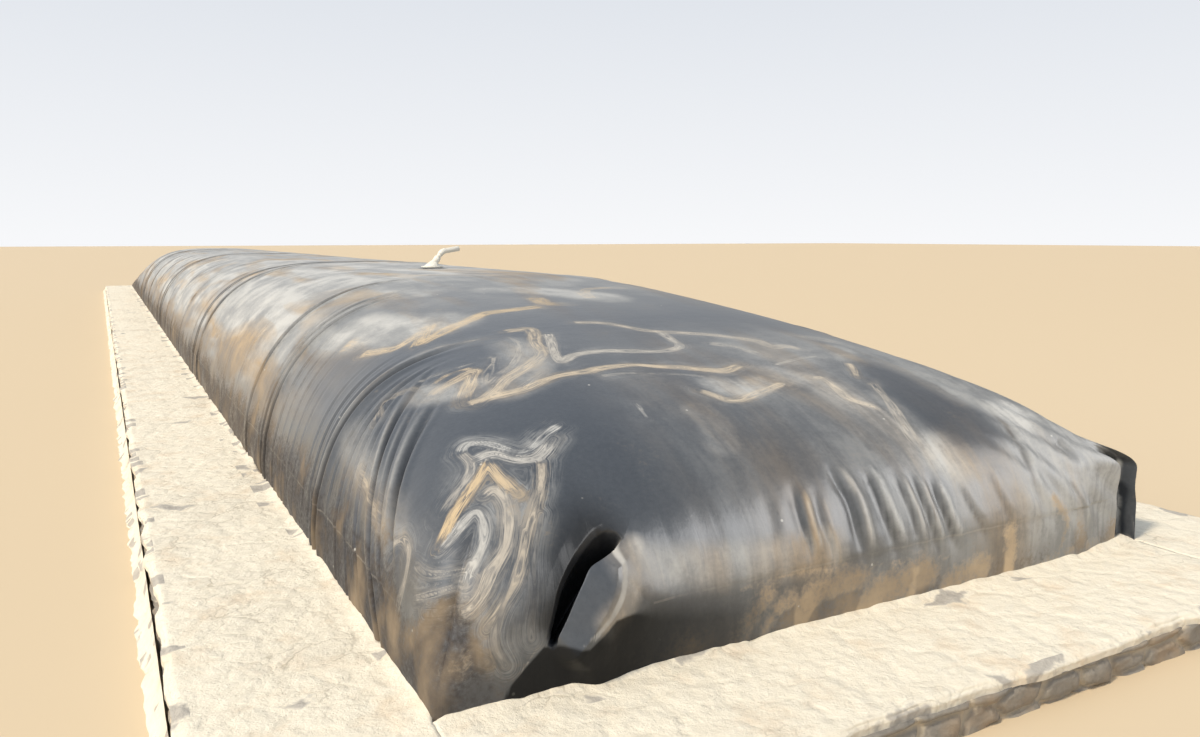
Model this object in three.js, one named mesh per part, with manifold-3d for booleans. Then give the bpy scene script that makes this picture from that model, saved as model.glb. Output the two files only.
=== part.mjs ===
// A covered-pit biogas digester, from ground level up: a long rectangular pit framed by a low rubble
// kerb, with an inflated black plastic cover welded to a skirt that comes up inside the kerb. The gas
// leaves through a short white plastic outlet on the crown of the cover.
// Millimetres. +X runs across the pit, +Y along it away from the near end, +Z is up. The origin is on
// the ground, in the middle of the kerb's footprint.

import * as THREE from "three";
import { mergeVertices } from "three/addons/utils/BufferGeometryUtils.js";
import Module from "manifold-3d";

const wasm = await Module();
wasm.setup();

// Driving sizes of the pit and its kerb
const PIT_WIDTH = 3450;
const PIT_LENGTH = 27500;
const SIDE_KERB_WIDTH = 700;
const END_KERB_WIDTH = 650;
const KERB_HEIGHT = 150;
const CAP_THICKNESS = 40;
const CAP_CHAMFER = 12;
const HAUNCH_WIDTH = 70;
const HAUNCH_HEIGHT = 90;
const HAUNCH_HOLLOW = 0.35;

// Driving sizes of the cover. Rises are measured above the kerb's top.
const CREST_RISE = 1143;
const WELD_RISE = 220;
const SHEET_THICKNESS = 20;
const SEAM_PITCH = 6000;
const FIRST_SEAM = 7900;
const SEAM_COUNT = 4;
const STRAP_WIDTH = 180;
const STRAP_THICKNESS = 10;
const FOLD_THICKNESS = 6;
const TOUCH_GAP = 0.3;
const LAID_GAP = 0.6;

// The cover's section has steep flanks and a broad crown, fuller than an ellipse. The near end stands up
// steeply and then climbs slowly to the crest, and the far end is slacker.
const SECTION_POWER = 3.6;
const NEAR_END = { side: -1, reach: 3800, power: 1.36, root: 3.52, blend: 2.61 };
const FAR_END = { side: 1, reach: 6000, power: 1.3, root: 1.2, blend: 0.7 };

// Rows and columns of facets in the sheets
const ACROSS_STEPS = 22;
const NEAR_END_ROWS = 12;
const FAR_END_ROWS = 6;
const PANEL_ROWS = 6;
const PATCH_SIDE_ROWS = 2;
const SKIRT_ROWS = 3;
const SKIRT_COLUMNS = 2;

// Driving sizes of the gas outlet
const OUTLET_FROM_NEAR = 5500;
const PATCH_LENGTH = 220;
const PATCH_THICKNESS = 8;
const FLANGE_DIAMETER = 190;
const FLANGE_THICKNESS = 10;
const PIPE_BORE = 32;
const RISER_LEAN = 36 * (Math.PI / 180);
const BOOT_FOOT_DIAMETER = 150;
const BOOT_LENGTH = 46;
const SLEEVE_DIAMETER = 60;
const SLEEVE_LENGTH = 48;
const RISER_DIAMETER = 42;
const RISER_LENGTH = 32;
const ELBOW_DIAMETER = 52;
const ELBOW_ARM = 32;
const ELBOW_STEPS = 8;
const STUB_DIAMETER = 46;
const STUB_LENGTH = 150;
const STUB_DIRECTION = new THREE.Vector3(1, 0.3, 0.14).normalize();
const ROUND_SEGMENTS = 10;
const FLANGE_SEGMENTS = 24;

const HALF_WIDTH = PIT_WIDTH / 2 - TOUCH_GAP;
const HALF_LENGTH = PIT_LENGTH / 2 - TOUCH_GAP;

const plastic = new THREE.MeshStandardMaterial({ color: 0x33373c, roughness: 0.42, metalness: 0 });
const weldedPlastic = new THREE.MeshStandardMaterial({ color: 0x25282c, roughness: 0.5, metalness: 0 });
const mortar = new THREE.MeshStandardMaterial({ color: 0xd9cdb4, roughness: 0.95, metalness: 0 });
const rubble = new THREE.MeshStandardMaterial({ color: 0x8d857a, roughness: 0.95, metalness: 0 });
const whitePipe = new THREE.MeshStandardMaterial({ color: 0xdedcd2, roughness: 0.45, metalness: 0 });

const digester = new THREE.Group();

function addPiece(name, geometry, material, parent = digester) {
  const piece = new THREE.Mesh(geometry, material);
  piece.name = name;
  parent.add(piece);
  return piece;
}

// Kerb: rubble masonry walls with a mortar cap on each and a mortar haunch at the outer foot

function alongPit(section, length) {
  const settings = { depth: length, bevelEnabled: false, curveSegments: 4 };
  const shape = new THREE.ExtrudeGeometry(section, settings);
  shape.translate(0, 0, -length / 2);
  shape.rotateX(Math.PI / 2);
  return shape;
}

function addKerbWall(side, isEnd, length, width, x, y) {
  const wallHeight = KERB_HEIGHT - CAP_THICKNESS;
  const wallShape = new THREE.BoxGeometry(isEnd ? length : width, isEnd ? width : length, wallHeight);
  addPiece(`kerb_${side}_masonry`, wallShape, rubble).position.set(x, y, wallHeight / 2);

  const section = new THREE.Shape();
  section.moveTo(-width / 2, 0);
  section.lineTo(width / 2, 0);
  section.lineTo(width / 2, CAP_THICKNESS - CAP_CHAMFER);
  section.lineTo(width / 2 - CAP_CHAMFER, CAP_THICKNESS);
  section.lineTo(-width / 2 + CAP_CHAMFER, CAP_THICKNESS);
  section.lineTo(-width / 2, CAP_THICKNESS - CAP_CHAMFER);
  section.closePath();
  const capShape = alongPit(section, length);
  if (isEnd) capShape.rotateZ(Math.PI / 2);
  addPiece(`kerb_${side}_cap`, capShape, mortar).position.set(x, y, wallHeight);
}

function addHaunch(side, sign, length) {
  const section = new THREE.Shape();
  section.moveTo(0, 0);
  section.lineTo(HAUNCH_WIDTH, 0);
  section.quadraticCurveTo(HAUNCH_WIDTH * HAUNCH_HOLLOW, HAUNCH_HEIGHT * HAUNCH_HOLLOW, 0, HAUNCH_HEIGHT);
  section.closePath();
  const shape = alongPit(section, length);
  if (sign < 0) shape.rotateZ(Math.PI);
  const haunch = addPiece(`kerb_${side}_haunch`, shape, mortar);
  haunch.position.x = sign * (PIT_WIDTH / 2 + SIDE_KERB_WIDTH);
}

const fullLength = PIT_LENGTH + 2 * END_KERB_WIDTH;
const sideKerbX = (PIT_WIDTH + SIDE_KERB_WIDTH) / 2;
const endKerbY = (PIT_LENGTH + END_KERB_WIDTH) / 2;
addKerbWall("left", false, fullLength, SIDE_KERB_WIDTH, -sideKerbX, 0);
addKerbWall("right", false, fullLength, SIDE_KERB_WIDTH, sideKerbX, 0);
addKerbWall("near", true, PIT_WIDTH, END_KERB_WIDTH, 0, -endKerbY);
addKerbWall("far", true, PIT_WIDTH, END_KERB_WIDTH, 0, endKerbY);
addHaunch("left", -1, fullLength);
addHaunch("right", 1, fullLength);

// Cover shape. A place across the cover has the section's fullness F there, and a station along it has
// the end's fullness G there. Both run from 0 at the kerb to 1 at the crest.

const fullnessAcross = (u) => Math.sqrt(Math.max(0, 1 - Math.abs(u) ** SECTION_POWER));
const shareAcross = (F) => (1 - F * F) ** (1 / SECTION_POWER);
const fullnessAlong = (end, v) => Math.max(0, 1 - v ** end.power) ** (1 / end.root);
const shareAlong = (end, G) => Math.max(0, 1 - G ** end.root) ** (1 / end.power);

// The two fullnesses blend so that the corners stay filled out.
function riseOf(F, G, blend) {
  if (F <= 0 || G <= 0) return 0;
  return CREST_RISE * (F ** -blend + G ** -blend - 1) ** (-1 / blend);
}

// A place across, by its angle from the crest. A drop of 1 takes it down to the ground.
function place(angle, drop = 0) {
  const u = Math.sin(angle);
  return { x: HALF_WIDTH * u, F: drop ? 0 : fullnessAcross(u), drop };
}

// A station along, by its distance from its own end of the pit
function station(end, fromEnd, drop = 0) {
  const v = Math.max(0, 1 - fromEnd / end.reach);
  const y = end.side * (HALF_LENGTH - fromEnd);
  return { y, G: drop ? 0 : fullnessAlong(end, v), blend: end.blend, lean: end.side * v, drop };
}

// A point of the cover at a depth inside its outer face. A negative depth lies outside it.
function coverPoint(a, s, depth) {
  const rise = riseOf(a.F, s.G, s.blend) * (1 - depth / CREST_RISE);
  return new THREE.Vector3(
    a.x * (1 - depth / HALF_WIDTH),
    s.y - s.lean * depth,
    KERB_HEIGHT * (1 - Math.max(a.drop, s.drop)) + rise,
  );
}

// A sheet is a box of many segments whose top face is laid on outer(i, j) and bottom on inner(i, j).
function sheetGeometry(columns, rows, outer, inner) {
  const geometry = new THREE.BoxGeometry(1, 1, 1, columns, rows, 1);
  const position = geometry.getAttribute("position");
  for (let n = 0; n < position.count; n++) {
    const i = Math.round((position.getX(n) + 0.5) * columns);
    const j = Math.round((position.getY(n) + 0.5) * rows);
    const point = position.getZ(n) > 0 ? outer(i, j) : inner(i, j);
    position.setXYZ(n, point.x, point.y, point.z);
  }
  alignDiagonals(geometry);
  geometry.computeVertexNormals();
  return geometry;
}

// Turns each square of the bottom face round to the top face's diagonal, so that one sheet can lie on
// another. A square is two triangles, a b d and b c d, and becomes a b c and a c d.
function alignDiagonals(geometry) {
  const index = geometry.getIndex();
  const bottom = geometry.groups.at(-1);
  for (let n = bottom.start; n < bottom.start + bottom.count; n += 6) {
    const [a, b, d, , c] = index.array.slice(n, n + 6);
    index.set([a, b, c, a, c, d], n);
  }
}

function coverSheet(places, stations, outerDepth, innerDepth) {
  return sheetGeometry(
    places.length - 1,
    stations.length - 1,
    (i, j) => coverPoint(places[i], stations[j], outerDepth),
    (i, j) => coverPoint(places[i], stations[j], innerDepth),
  );
}

const steps = (from, to, count) =>
  Array.from({ length: count + 1 }, (_, i) => from + ((to - from) * i) / count);

// Distances from an end, bunched towards the kerb, where the end turns steeply
function endSteps(end, from, to, count) {
  const angle = (distance) => Math.acos(1 - distance / end.reach);
  return steps(angle(from), angle(to), count).map((phi) => end.reach * (1 - Math.cos(phi)));
}

// The weld between skirt and cover runs where the fullness is this, less the gap between the two.
const weldFullness = WELD_RISE / CREST_RISE;
const gapFullness = TOUCH_GAP / CREST_RISE;
const weldAngle = (fullness) => Math.asin(shareAcross(fullness));
const weldDistance = (end, fullness) => end.reach * (1 - shareAlong(end, fullness));

const coverEdge = weldAngle(weldFullness + gapFullness);
const skirtEdge = weldAngle(weldFullness - gapFullness);
const coverPlaces = steps(-coverEdge, coverEdge, ACROSS_STEPS).map((angle) => place(angle));

// Panels of the cover between the transverse seams, which share their stations with all that lies on them
const halfStrap = STRAP_WIDTH / 2;
const seams = steps(FIRST_SEAM, FIRST_SEAM + SEAM_PITCH * (SEAM_COUNT - 1), SEAM_COUNT - 1);
const stationAt = (fromNear) =>
  fromNear < PIT_LENGTH / 2 ? station(NEAR_END, fromNear) : station(FAR_END, PIT_LENGTH - fromNear);

// The two edges of the gas outlet's patch are stations of the near end too.
const patchEdges = [OUTLET_FROM_NEAR - PATCH_LENGTH / 2, OUTLET_FROM_NEAR + PATCH_LENGTH / 2];
const nearSteps = [
  weldDistance(NEAR_END, weldFullness + gapFullness),
  ...endSteps(NEAR_END, 0, NEAR_END.reach, NEAR_END_ROWS).slice(1),
  ...steps(NEAR_END.reach, patchEdges[0], PATCH_SIDE_ROWS).slice(1),
  ...steps(patchEdges[1], seams[0] - halfStrap, PATCH_SIDE_ROWS),
];
const nearStations = nearSteps.map(stationAt);

const lastSeam = seams[SEAM_COUNT - 1];
const farWeld = weldDistance(FAR_END, weldFullness + gapFullness);
const farSteps = endSteps(FAR_END, PIT_LENGTH - lastSeam - halfStrap, farWeld, FAR_END_ROWS);
const farStations = farSteps.map((d) => station(FAR_END, d));

const panelStations = seams
  .slice(1)
  .map((seam, n) => steps(seams[n] + halfStrap, seam - halfStrap, PANEL_ROWS).map(stationAt));

const coverPanel = (stations) => coverSheet(coverPlaces, stations, 0, SHEET_THICKNESS);

const nearEndSheet = coverPanel([...nearStations, stationAt(seams[0] - TOUCH_GAP)]);
const nearEnd = addPiece("cover_near_end", nearEndSheet, plastic);
panelStations.forEach((middle, n) => {
  const stations = [stationAt(seams[n]), ...middle, stationAt(seams[n + 1] - TOUCH_GAP)];
  addPiece(`cover_panel_${n + 1}`, coverPanel(stations), plastic);
});
addPiece("cover_far_end", coverPanel([stationAt(lastSeam), ...farStations]), plastic);

// Weld straps: the overlapping edges of the panels, lying over each transverse seam
seams.forEach((seam, n) => {
  const stations = [seam - halfStrap, seam, seam + halfStrap].map(stationAt);
  const strap = coverSheet(coverPlaces, stations, -LAID_GAP - STRAP_THICKNESS, -LAID_GAP);
  addPiece(`weld_seam_${n + 1}`, strap, weldedPlastic);
});

// Skirt: the pit lining's edge, which comes up inside the kerb to the weld with the cover
const kerbAngle = Math.PI / 2;
const rightEdge = steps(skirtEdge, kerbAngle, SKIRT_COLUMNS).map((angle) => place(angle));
const leftEdge = steps(-kerbAngle, -skirtEdge, SKIRT_COLUMNS).map((angle) => place(angle));
const sideStations = [
  ...nearStations,
  ...panelStations.flatMap((middle, n) => [stationAt(seams[n]), ...middle]),
  stationAt(lastSeam),
  ...farStations,
];
const leftPlaces = [place(-kerbAngle, 1), ...leftEdge];
const rightPlaces = [...rightEdge, place(kerbAngle, 1)];
addPiece("skirt_left", coverSheet(leftPlaces, sideStations, 0, SHEET_THICKNESS), plastic);
addPiece("skirt_right", coverSheet(rightPlaces, sideStations, 0, SHEET_THICKNESS), plastic);

const endPlaces = [...leftEdge, ...coverPlaces.slice(1, -1), ...rightEdge];

function skirtRise(end) {
  const top = weldDistance(end, weldFullness - gapFullness);
  return [station(end, 0, 1), ...endSteps(end, 0, top, SKIRT_ROWS).map((d) => station(end, d))];
}

const nearRise = skirtRise(NEAR_END);
const farRise = skirtRise(FAR_END);
addPiece("skirt_near", coverSheet(endPlaces, nearRise, 0, SHEET_THICKNESS), plastic);
addPiece("skirt_far", coverSheet(endPlaces, farRise.toReversed(), 0, SHEET_THICKNESS), plastic);

// Corner folds: where the flat sheet is gathered round a corner, its slack stands up in a ridge. A
// fold is a patch on the cover's own stations, pushed outwards beside the line of its ridge, and the
// more so the nearer to the ridge's top.
function addFold(name, places, stations, ridge) {
  const line = new THREE.Line3(ridge.foot, ridge.top);
  const nearest = new THREE.Vector3();
  const outer = (i, j) => {
    const point = coverPoint(places[i], stations[j], -LAID_GAP - FOLD_THICKNESS);
    const upRidge = line.closestPointToPointParameter(point, true);
    line.at(upRidge, nearest);
    const besideRidge = Math.max(0, 1 - point.distanceTo(nearest) / ridge.reach);
    return point.addScaledVector(ridge.push, upRidge * besideRidge);
  };
  const inner = (i, j) => coverPoint(places[i], stations[j], -LAID_GAP);
  addPiece(name, sheetGeometry(places.length - 1, stations.length - 1, outer, inner), plastic);
}

const fromCorner = (side, end, across, along, rise) =>
  new THREE.Vector3(side * (HALF_WIDTH - across), end.side * (HALF_LENGTH - along), KERB_HEIGHT + rise);
const leftCorner = (count) => endPlaces.slice(1, count + 1);
const rightCorner = (count) => endPlaces.slice(-count - 1, -1);
const nearFoldStations = [...nearRise.slice(2, -1), ...nearStations];
const farFoldStations = [...farStations, ...farRise.slice(2, -1).toReversed()];

addFold("corner_pleat_near_left", leftCorner(9), nearFoldStations.slice(0, 5), {
  foot: fromCorner(-1, NEAR_END, 340, 0, 110),
  top: fromCorner(-1, NEAR_END, 640, 60, 420),
  reach: 220,
  push: new THREE.Vector3(0, -90, 20),
});
addFold("corner_ear_near_right", rightCorner(6), nearFoldStations.slice(0, 6), {
  foot: fromCorner(1, NEAR_END, 0, 10, 0),
  top: fromCorner(1, NEAR_END, 60, 60, 400),
  reach: 320,
  push: new THREE.Vector3(10, -20, 130),
});
addFold("corner_ear_far_left", leftCorner(6), farFoldStations.slice(-6), {
  foot: fromCorner(-1, FAR_END, 0, 40, 0),
  top: fromCorner(-1, FAR_END, 120, 300, 250),
  reach: 240,
  push: new THREE.Vector3(-30, 25, 40),
});
addFold("corner_ear_far_right", rightCorner(6), farFoldStations.slice(-6), {
  foot: fromCorner(1, FAR_END, 0, 40, 0),
  top: fromCorner(1, FAR_END, 120, 300, 250),
  reach: 240,
  push: new THREE.Vector3(30, 25, 40),
});

// Gas outlet: a welded patch with a flange, a boot that leans with the pull of the pipe, a sleeve, a
// riser, an elbow and an open pipe end, all with one bore down into the gas space.

function solidOf(geometry) {
  const bare = geometry.clone();
  bare.deleteAttribute("normal");
  bare.deleteAttribute("uv");
  const merged = mergeVertices(bare, 1e-3);
  const vertProperties = merged.getAttribute("position").array;
  const triVerts = new Uint32Array(merged.index.array);
  return new wasm.Manifold(new wasm.Mesh({ numProp: 3, vertProperties, triVerts }));
}

function cutGeometry(geometry, cutter) {
  const mesh = solidOf(geometry).subtract(solidOf(cutter)).getMesh();
  const cut = new THREE.BufferGeometry();
  cut.setAttribute("position", new THREE.BufferAttribute(new Float32Array(mesh.vertProperties), 3));
  cut.setIndex(new THREE.BufferAttribute(new Uint32Array(mesh.triVerts), 1));
  cut.computeVertexNormals();
  return cut;
}

function tube(diameter, length, bore = PIPE_BORE) {
  const ring = new THREE.Shape().absarc(0, 0, diameter / 2, 0, 2 * Math.PI);
  ring.holes.push(new THREE.Path().absarc(0, 0, bore / 2, 0, 2 * Math.PI));
  const settings = { depth: length, bevelEnabled: false, curveSegments: ROUND_SEGMENTS };
  return new THREE.ExtrudeGeometry(ring, settings);
}

// The outlet stands on the first facet to the right of the crest, square to it.
const crestPlace = ACROSS_STEPS / 2;
const patchPlaces = coverPlaces.slice(crestPlace, crestPlace + 2);
const patchStations = patchEdges.map(stationAt);
const patchOutside = -LAID_GAP - PATCH_THICKNESS;
const patchCorner = (i, j) => coverPoint(patchPlaces[i], patchStations[j], patchOutside);
const acrossPatch = patchCorner(1, 0).sub(patchCorner(0, 0)).normalize();
const squareUp = acrossPatch.clone().cross(patchCorner(0, 1).sub(patchCorner(0, 0))).normalize();
const alongPatch = squareUp.clone().cross(acrossPatch);

const outlet = new THREE.Group();
outlet.quaternion.setFromRotationMatrix(new THREE.Matrix4().makeBasis(acrossPatch, alongPatch, squareUp));
outlet.position.copy(patchCorner(0, 0)).add(patchCorner(1, 1)).multiplyScalar(0.5);
outlet.position.addScaledVector(squareUp, LAID_GAP);
outlet.updateMatrix();
digester.add(outlet);

const leaning = new THREE.Group();
leaning.rotation.y = RISER_LEAN;
leaning.position.z = FLANGE_THICKNESS;
leaning.updateMatrix();
outlet.add(leaning);

// The bore of the leaning pipe, from below the cover to above the boot
const BORE_REACH = 200;
const bore = new THREE.CylinderGeometry(PIPE_BORE / 2, PIPE_BORE / 2, 2 * BORE_REACH, 2 * ROUND_SEGMENTS);
bore.rotateX(Math.PI / 2);
const boreInFlange = bore.clone().applyMatrix4(leaning.matrix);
const boreInCover = boreInFlange.clone().applyMatrix4(outlet.matrix);

nearEnd.geometry = cutGeometry(nearEndSheet, boreInCover);
const patch = coverSheet(patchPlaces, patchStations, patchOutside, -LAID_GAP);
addPiece("outlet_patch", cutGeometry(patch, boreInCover), weldedPlastic);

const flangeRadius = FLANGE_DIAMETER / 2;
const flange = new THREE.CylinderGeometry(flangeRadius, flangeRadius, FLANGE_THICKNESS, FLANGE_SEGMENTS);
flange.rotateX(Math.PI / 2).translate(0, 0, FLANGE_THICKNESS / 2);
addPiece("outlet_flange", cutGeometry(flange, boreInFlange), whitePipe, outlet);

// The boot has a flat foot on the flange and a top square to the riser.
const boot = new THREE.CylinderGeometry(1, 1, 1, FLANGE_SEGMENTS);
boot.rotateX(Math.PI / 2);
const bootPosition = boot.getAttribute("position");
const bootPoint = new THREE.Vector3();
for (let n = 0; n < bootPosition.count; n++) {
  bootPoint.fromBufferAttribute(bootPosition, n);
  const isTop = bootPoint.z > 0;
  bootPoint.z = 0;
  bootPoint.multiplyScalar((isTop ? SLEEVE_DIAMETER : BOOT_FOOT_DIAMETER) / 2);
  if (isTop) bootPoint.setZ(BOOT_LENGTH).applyMatrix4(leaning.matrix);
  else bootPoint.setZ(FLANGE_THICKNESS + TOUCH_GAP);
  bootPosition.setXYZ(n, bootPoint.x, bootPoint.y, bootPoint.z);
}
addPiece("outlet_boot", cutGeometry(boot, boreInFlange), whitePipe, outlet);

const sleeveFoot = BOOT_LENGTH + TOUCH_GAP;
const riserFoot = sleeveFoot + SLEEVE_LENGTH + TOUCH_GAP;
const elbowFoot = riserFoot + RISER_LENGTH + TOUCH_GAP;
addPiece("outlet_sleeve", tube(SLEEVE_DIAMETER, SLEEVE_LENGTH), whitePipe, leaning).position.z = sleeveFoot;
addPiece("outlet_riser", tube(RISER_DIAMETER, RISER_LENGTH), whitePipe, leaning).position.z = riserFoot;

// The elbow bends from the riser's axis to the open pipe's, which runs off to the right and slightly up.
const toLeaning = outlet.quaternion.clone().multiply(leaning.quaternion).invert();
const stubAxis = STUB_DIRECTION.clone().applyQuaternion(toLeaning);
const elbowStart = new THREE.Vector3(0, 0, elbowFoot);
const elbowCorner = new THREE.Vector3(0, 0, elbowFoot + ELBOW_ARM);
const elbowEnd = elbowCorner.clone().addScaledVector(stubAxis, ELBOW_ARM);
const elbowRing = new THREE.Shape().absarc(0, 0, ELBOW_DIAMETER / 2, 0, 2 * Math.PI);
elbowRing.holes.push(new THREE.Path().absarc(0, 0, PIPE_BORE / 2, 0, 2 * Math.PI));
const elbow = new THREE.ExtrudeGeometry(elbowRing, {
  steps: ELBOW_STEPS,
  curveSegments: ROUND_SEGMENTS,
  extrudePath: new THREE.QuadraticBezierCurve3(elbowStart, elbowCorner, elbowEnd),
});
addPiece("outlet_elbow", elbow, whitePipe, leaning);

const stub = addPiece("outlet_pipe_end", tube(STUB_DIAMETER, STUB_LENGTH), whitePipe, leaning);
stub.quaternion.setFromUnitVectors(new THREE.Vector3(0, 0, 1), stubAxis);
stub.position.copy(elbowEnd).addScaledVector(stubAxis, TOUCH_GAP);

export default digester;
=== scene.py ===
"""Looks for a covered-pit biogas digester: a low kerb of rubble and mortar round a long pit, an inflated
cover of black polyethylene sheet welded to the lining's skirt, and a white plastic gas outlet."""
import math

import bmesh
import bpy
import numpy as np
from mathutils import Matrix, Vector


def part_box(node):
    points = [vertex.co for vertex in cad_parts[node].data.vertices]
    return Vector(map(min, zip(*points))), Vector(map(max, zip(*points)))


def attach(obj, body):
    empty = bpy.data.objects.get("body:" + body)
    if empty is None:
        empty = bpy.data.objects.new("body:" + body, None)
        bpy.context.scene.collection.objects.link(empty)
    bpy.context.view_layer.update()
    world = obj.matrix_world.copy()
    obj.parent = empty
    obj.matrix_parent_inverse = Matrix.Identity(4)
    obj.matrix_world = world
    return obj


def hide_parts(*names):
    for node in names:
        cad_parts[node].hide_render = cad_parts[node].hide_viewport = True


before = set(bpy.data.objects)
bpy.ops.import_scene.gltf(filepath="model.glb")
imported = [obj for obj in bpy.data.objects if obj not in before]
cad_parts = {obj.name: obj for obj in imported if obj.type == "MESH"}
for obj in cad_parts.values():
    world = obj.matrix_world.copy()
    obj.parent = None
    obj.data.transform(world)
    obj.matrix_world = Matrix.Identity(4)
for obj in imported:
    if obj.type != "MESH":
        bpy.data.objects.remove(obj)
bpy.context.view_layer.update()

# Sizes read from the frame, in metres. Heights of the cover are measured above the kerb's top.
KERB_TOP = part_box("kerb_left_cap")[1].z
CAP_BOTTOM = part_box("kerb_left_cap")[0].z
HALF_WIDTH = -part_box("skirt_left")[0].x
HALF_LENGTH = -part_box("skirt_near")[0].y
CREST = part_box("cover_panel_1")[1].z - KERB_TOP
PIT_X = -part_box("kerb_left_cap")[1].x
PIT_Y = -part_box("kerb_near_cap")[1].y
KERB_X = -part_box("kerb_left_cap")[0].x
KERB_Y = -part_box("kerb_near_cap")[0].y
LENGTH = 2 * HALF_LENGTH

# Form of the inflated cover: the section is fuller than an ellipse, and each end has its own fullness
SECTION_POWER = 3.6
NEAR_END = {"reach": 3.8, "power": 1.36, "root": 3.52, "blend": 2.61}
FAR_END = {"reach": 6.0, "power": 1.3, "root": 1.2, "blend": 0.7}
WELD_RISE = 0.22
SEAMS = [7.9, 13.9, 19.9, 25.9]
STRAP_WIDTH = 0.18

# The photograph's camera and frame
PHOTO_WIDTH = 1200
PHOTO_HEIGHT = 737
FOCAL_PIXELS = 917.1
SENSOR_WIDTH = 36.0
CAMERA_PLACE = np.array([-2.497, -16.213, 1.57])
CAMERA_YAW = math.radians(28.45)
CAMERA_PITCH = math.radians(8.17)


# Small helpers


def smooth(low, high, value):
    """0 below low, 1 above high and an easy curve between."""
    share = np.clip((value - low) / (high - low), 0, 1)
    return share * share * (3 - 2 * share)


def bump(distance, width):
    return np.exp(-((distance / width) ** 2))


LATTICE = 64
SEED_STEP = 17.37
LAYERS_TOTAL = 1.6
lattice_values = np.random.default_rng(7).random((LATTICE, LATTICE, LATTICE))


def grain(points, size, seed=0):
    """Smooth noise from -1 to 1 on a lattice of the given size, which may be one number or one an axis."""
    place = points / np.asarray(size) + seed * SEED_STEP
    cell = np.floor(place).astype(int)
    part = place - cell
    part = part * part * (3 - 2 * part)
    total = 0
    for corner in np.ndindex(2, 2, 2):
        weight = np.prod(np.where(corner, part, 1 - part), axis=-1)
        x, y, z = np.moveaxis((cell + corner) % LATTICE, -1, 0)
        total = total + weight * lattice_values[x, y, z]
    return 2 * total - 1


def rough(points, size, seed=0, layers=3):
    """Noise of several sizes, each layer half as large and half as strong."""
    total = 0
    for layer in range(layers):
        total = total + grain(points, np.asarray(size) / 2**layer, seed + layer) / 2**layer
    return total / LAYERS_TOTAL


# The middle of a cell keeps this far from its cell's edge, as a share of the cell, and has this much room.
CELL_EDGE = 0.15
CELL_ROOM = 0.7


def cells(x, y, size_x, size_y, seed=0):
    """Irregular cells in a plane: the distance to the border and a random number for each cell."""
    place = np.stack([x / size_x, y / size_y], -1)
    home = np.floor(place).astype(int)
    near = np.full(x.shape, np.inf)
    second = np.full(x.shape, np.inf)
    number = np.zeros(x.shape)
    for step in np.ndindex(3, 3):
        cell = home + np.array(step) - 1
        a, b = (cell[..., 0] + seed * 7) % LATTICE, (cell[..., 1] + seed * 13) % LATTICE
        chance = np.stack([lattice_values[a, b, 1], lattice_values[a, b, 2]], -1)
        middle = cell + CELL_EDGE + CELL_ROOM * chance
        distance = np.linalg.norm(place - middle, axis=-1)
        nearer = distance < near
        second = np.where(nearer, near, np.minimum(second, distance))
        number = np.where(nearer, lattice_values[a, b, 3], number)
        near = np.where(nearer, distance, near)
    return second - near, number


# Cover form


LEAST_FULLNESS = 1e-5


def rise_of(across, along, blend):
    """Rise of the cover where its section and its length profile have the given fullness."""
    across = np.maximum(across, LEAST_FULLNESS)
    along = np.maximum(along, LEAST_FULLNESS)
    return CREST * (across**-blend + along**-blend - 1) ** (-1 / blend)


def fullness_across(x):
    return np.sqrt(np.clip(1 - np.abs(x / HALF_WIDTH) ** SECTION_POWER, 0, 1))


def fullness_along(end, distance):
    share = np.clip(1 - distance / end["reach"], 0, 1)
    return (1 - share ** end["power"]) ** (1 / end["root"])


def cover_rise(x, y):
    """Rise of the cover above the kerb's top at a place in plan."""
    near = fullness_along(NEAR_END, y + HALF_LENGTH)
    far = fullness_along(FAR_END, HALF_LENGTH - y)
    across = fullness_across(x)
    rise = np.where(
        y < 0,
        rise_of(across, near, NEAR_END["blend"]),
        rise_of(across, far, FAR_END["blend"]),
    )
    outside = (np.abs(x) > HALF_WIDTH) | (np.abs(y) > HALF_LENGTH)
    return np.where(outside, 0, rise)


def from_edges(points):
    """Distances of places from the pit's left edge, from its near end and up from the kerb's top."""
    return points[..., 0] + HALF_WIDTH, points[..., 1] + HALF_LENGTH, points[..., 2] - KERB_TOP


def arc_table(run, rise):
    return np.concatenate([[0], np.cumsum(np.hypot(np.diff(run), np.diff(rise)))])


TABLE_STEPS = 3000
angles = np.linspace(-math.pi / 2, math.pi / 2, TABLE_STEPS)
across_arc = arc_table(HALF_WIDTH * np.sin(angles), CREST * fullness_across(HALF_WIDTH * np.sin(angles)))
GIRTH = across_arc[-1]


def end_profile(end):
    """Distances from an end and the fullness there, closest together where the end stands steep."""
    full = np.linspace(0, 1, TABLE_STEPS)
    return end["reach"] * (1 - (1 - full ** end["root"]) ** (1 / end["power"])), full


near_distance, near_full = end_profile(NEAR_END)
far_distance, far_full = end_profile(FAR_END)
along_distance = np.concatenate([near_distance, LENGTH - far_distance[::-1]])
along_full = np.concatenate([near_full, far_full[::-1]])
along_arc = arc_table(along_distance, CREST * along_full)
SPAN = along_arc[-1]


def arc_at(distance):
    """Arc length along the crest to a distance from the near end."""
    return np.interp(distance, along_distance, along_arc)


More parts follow.
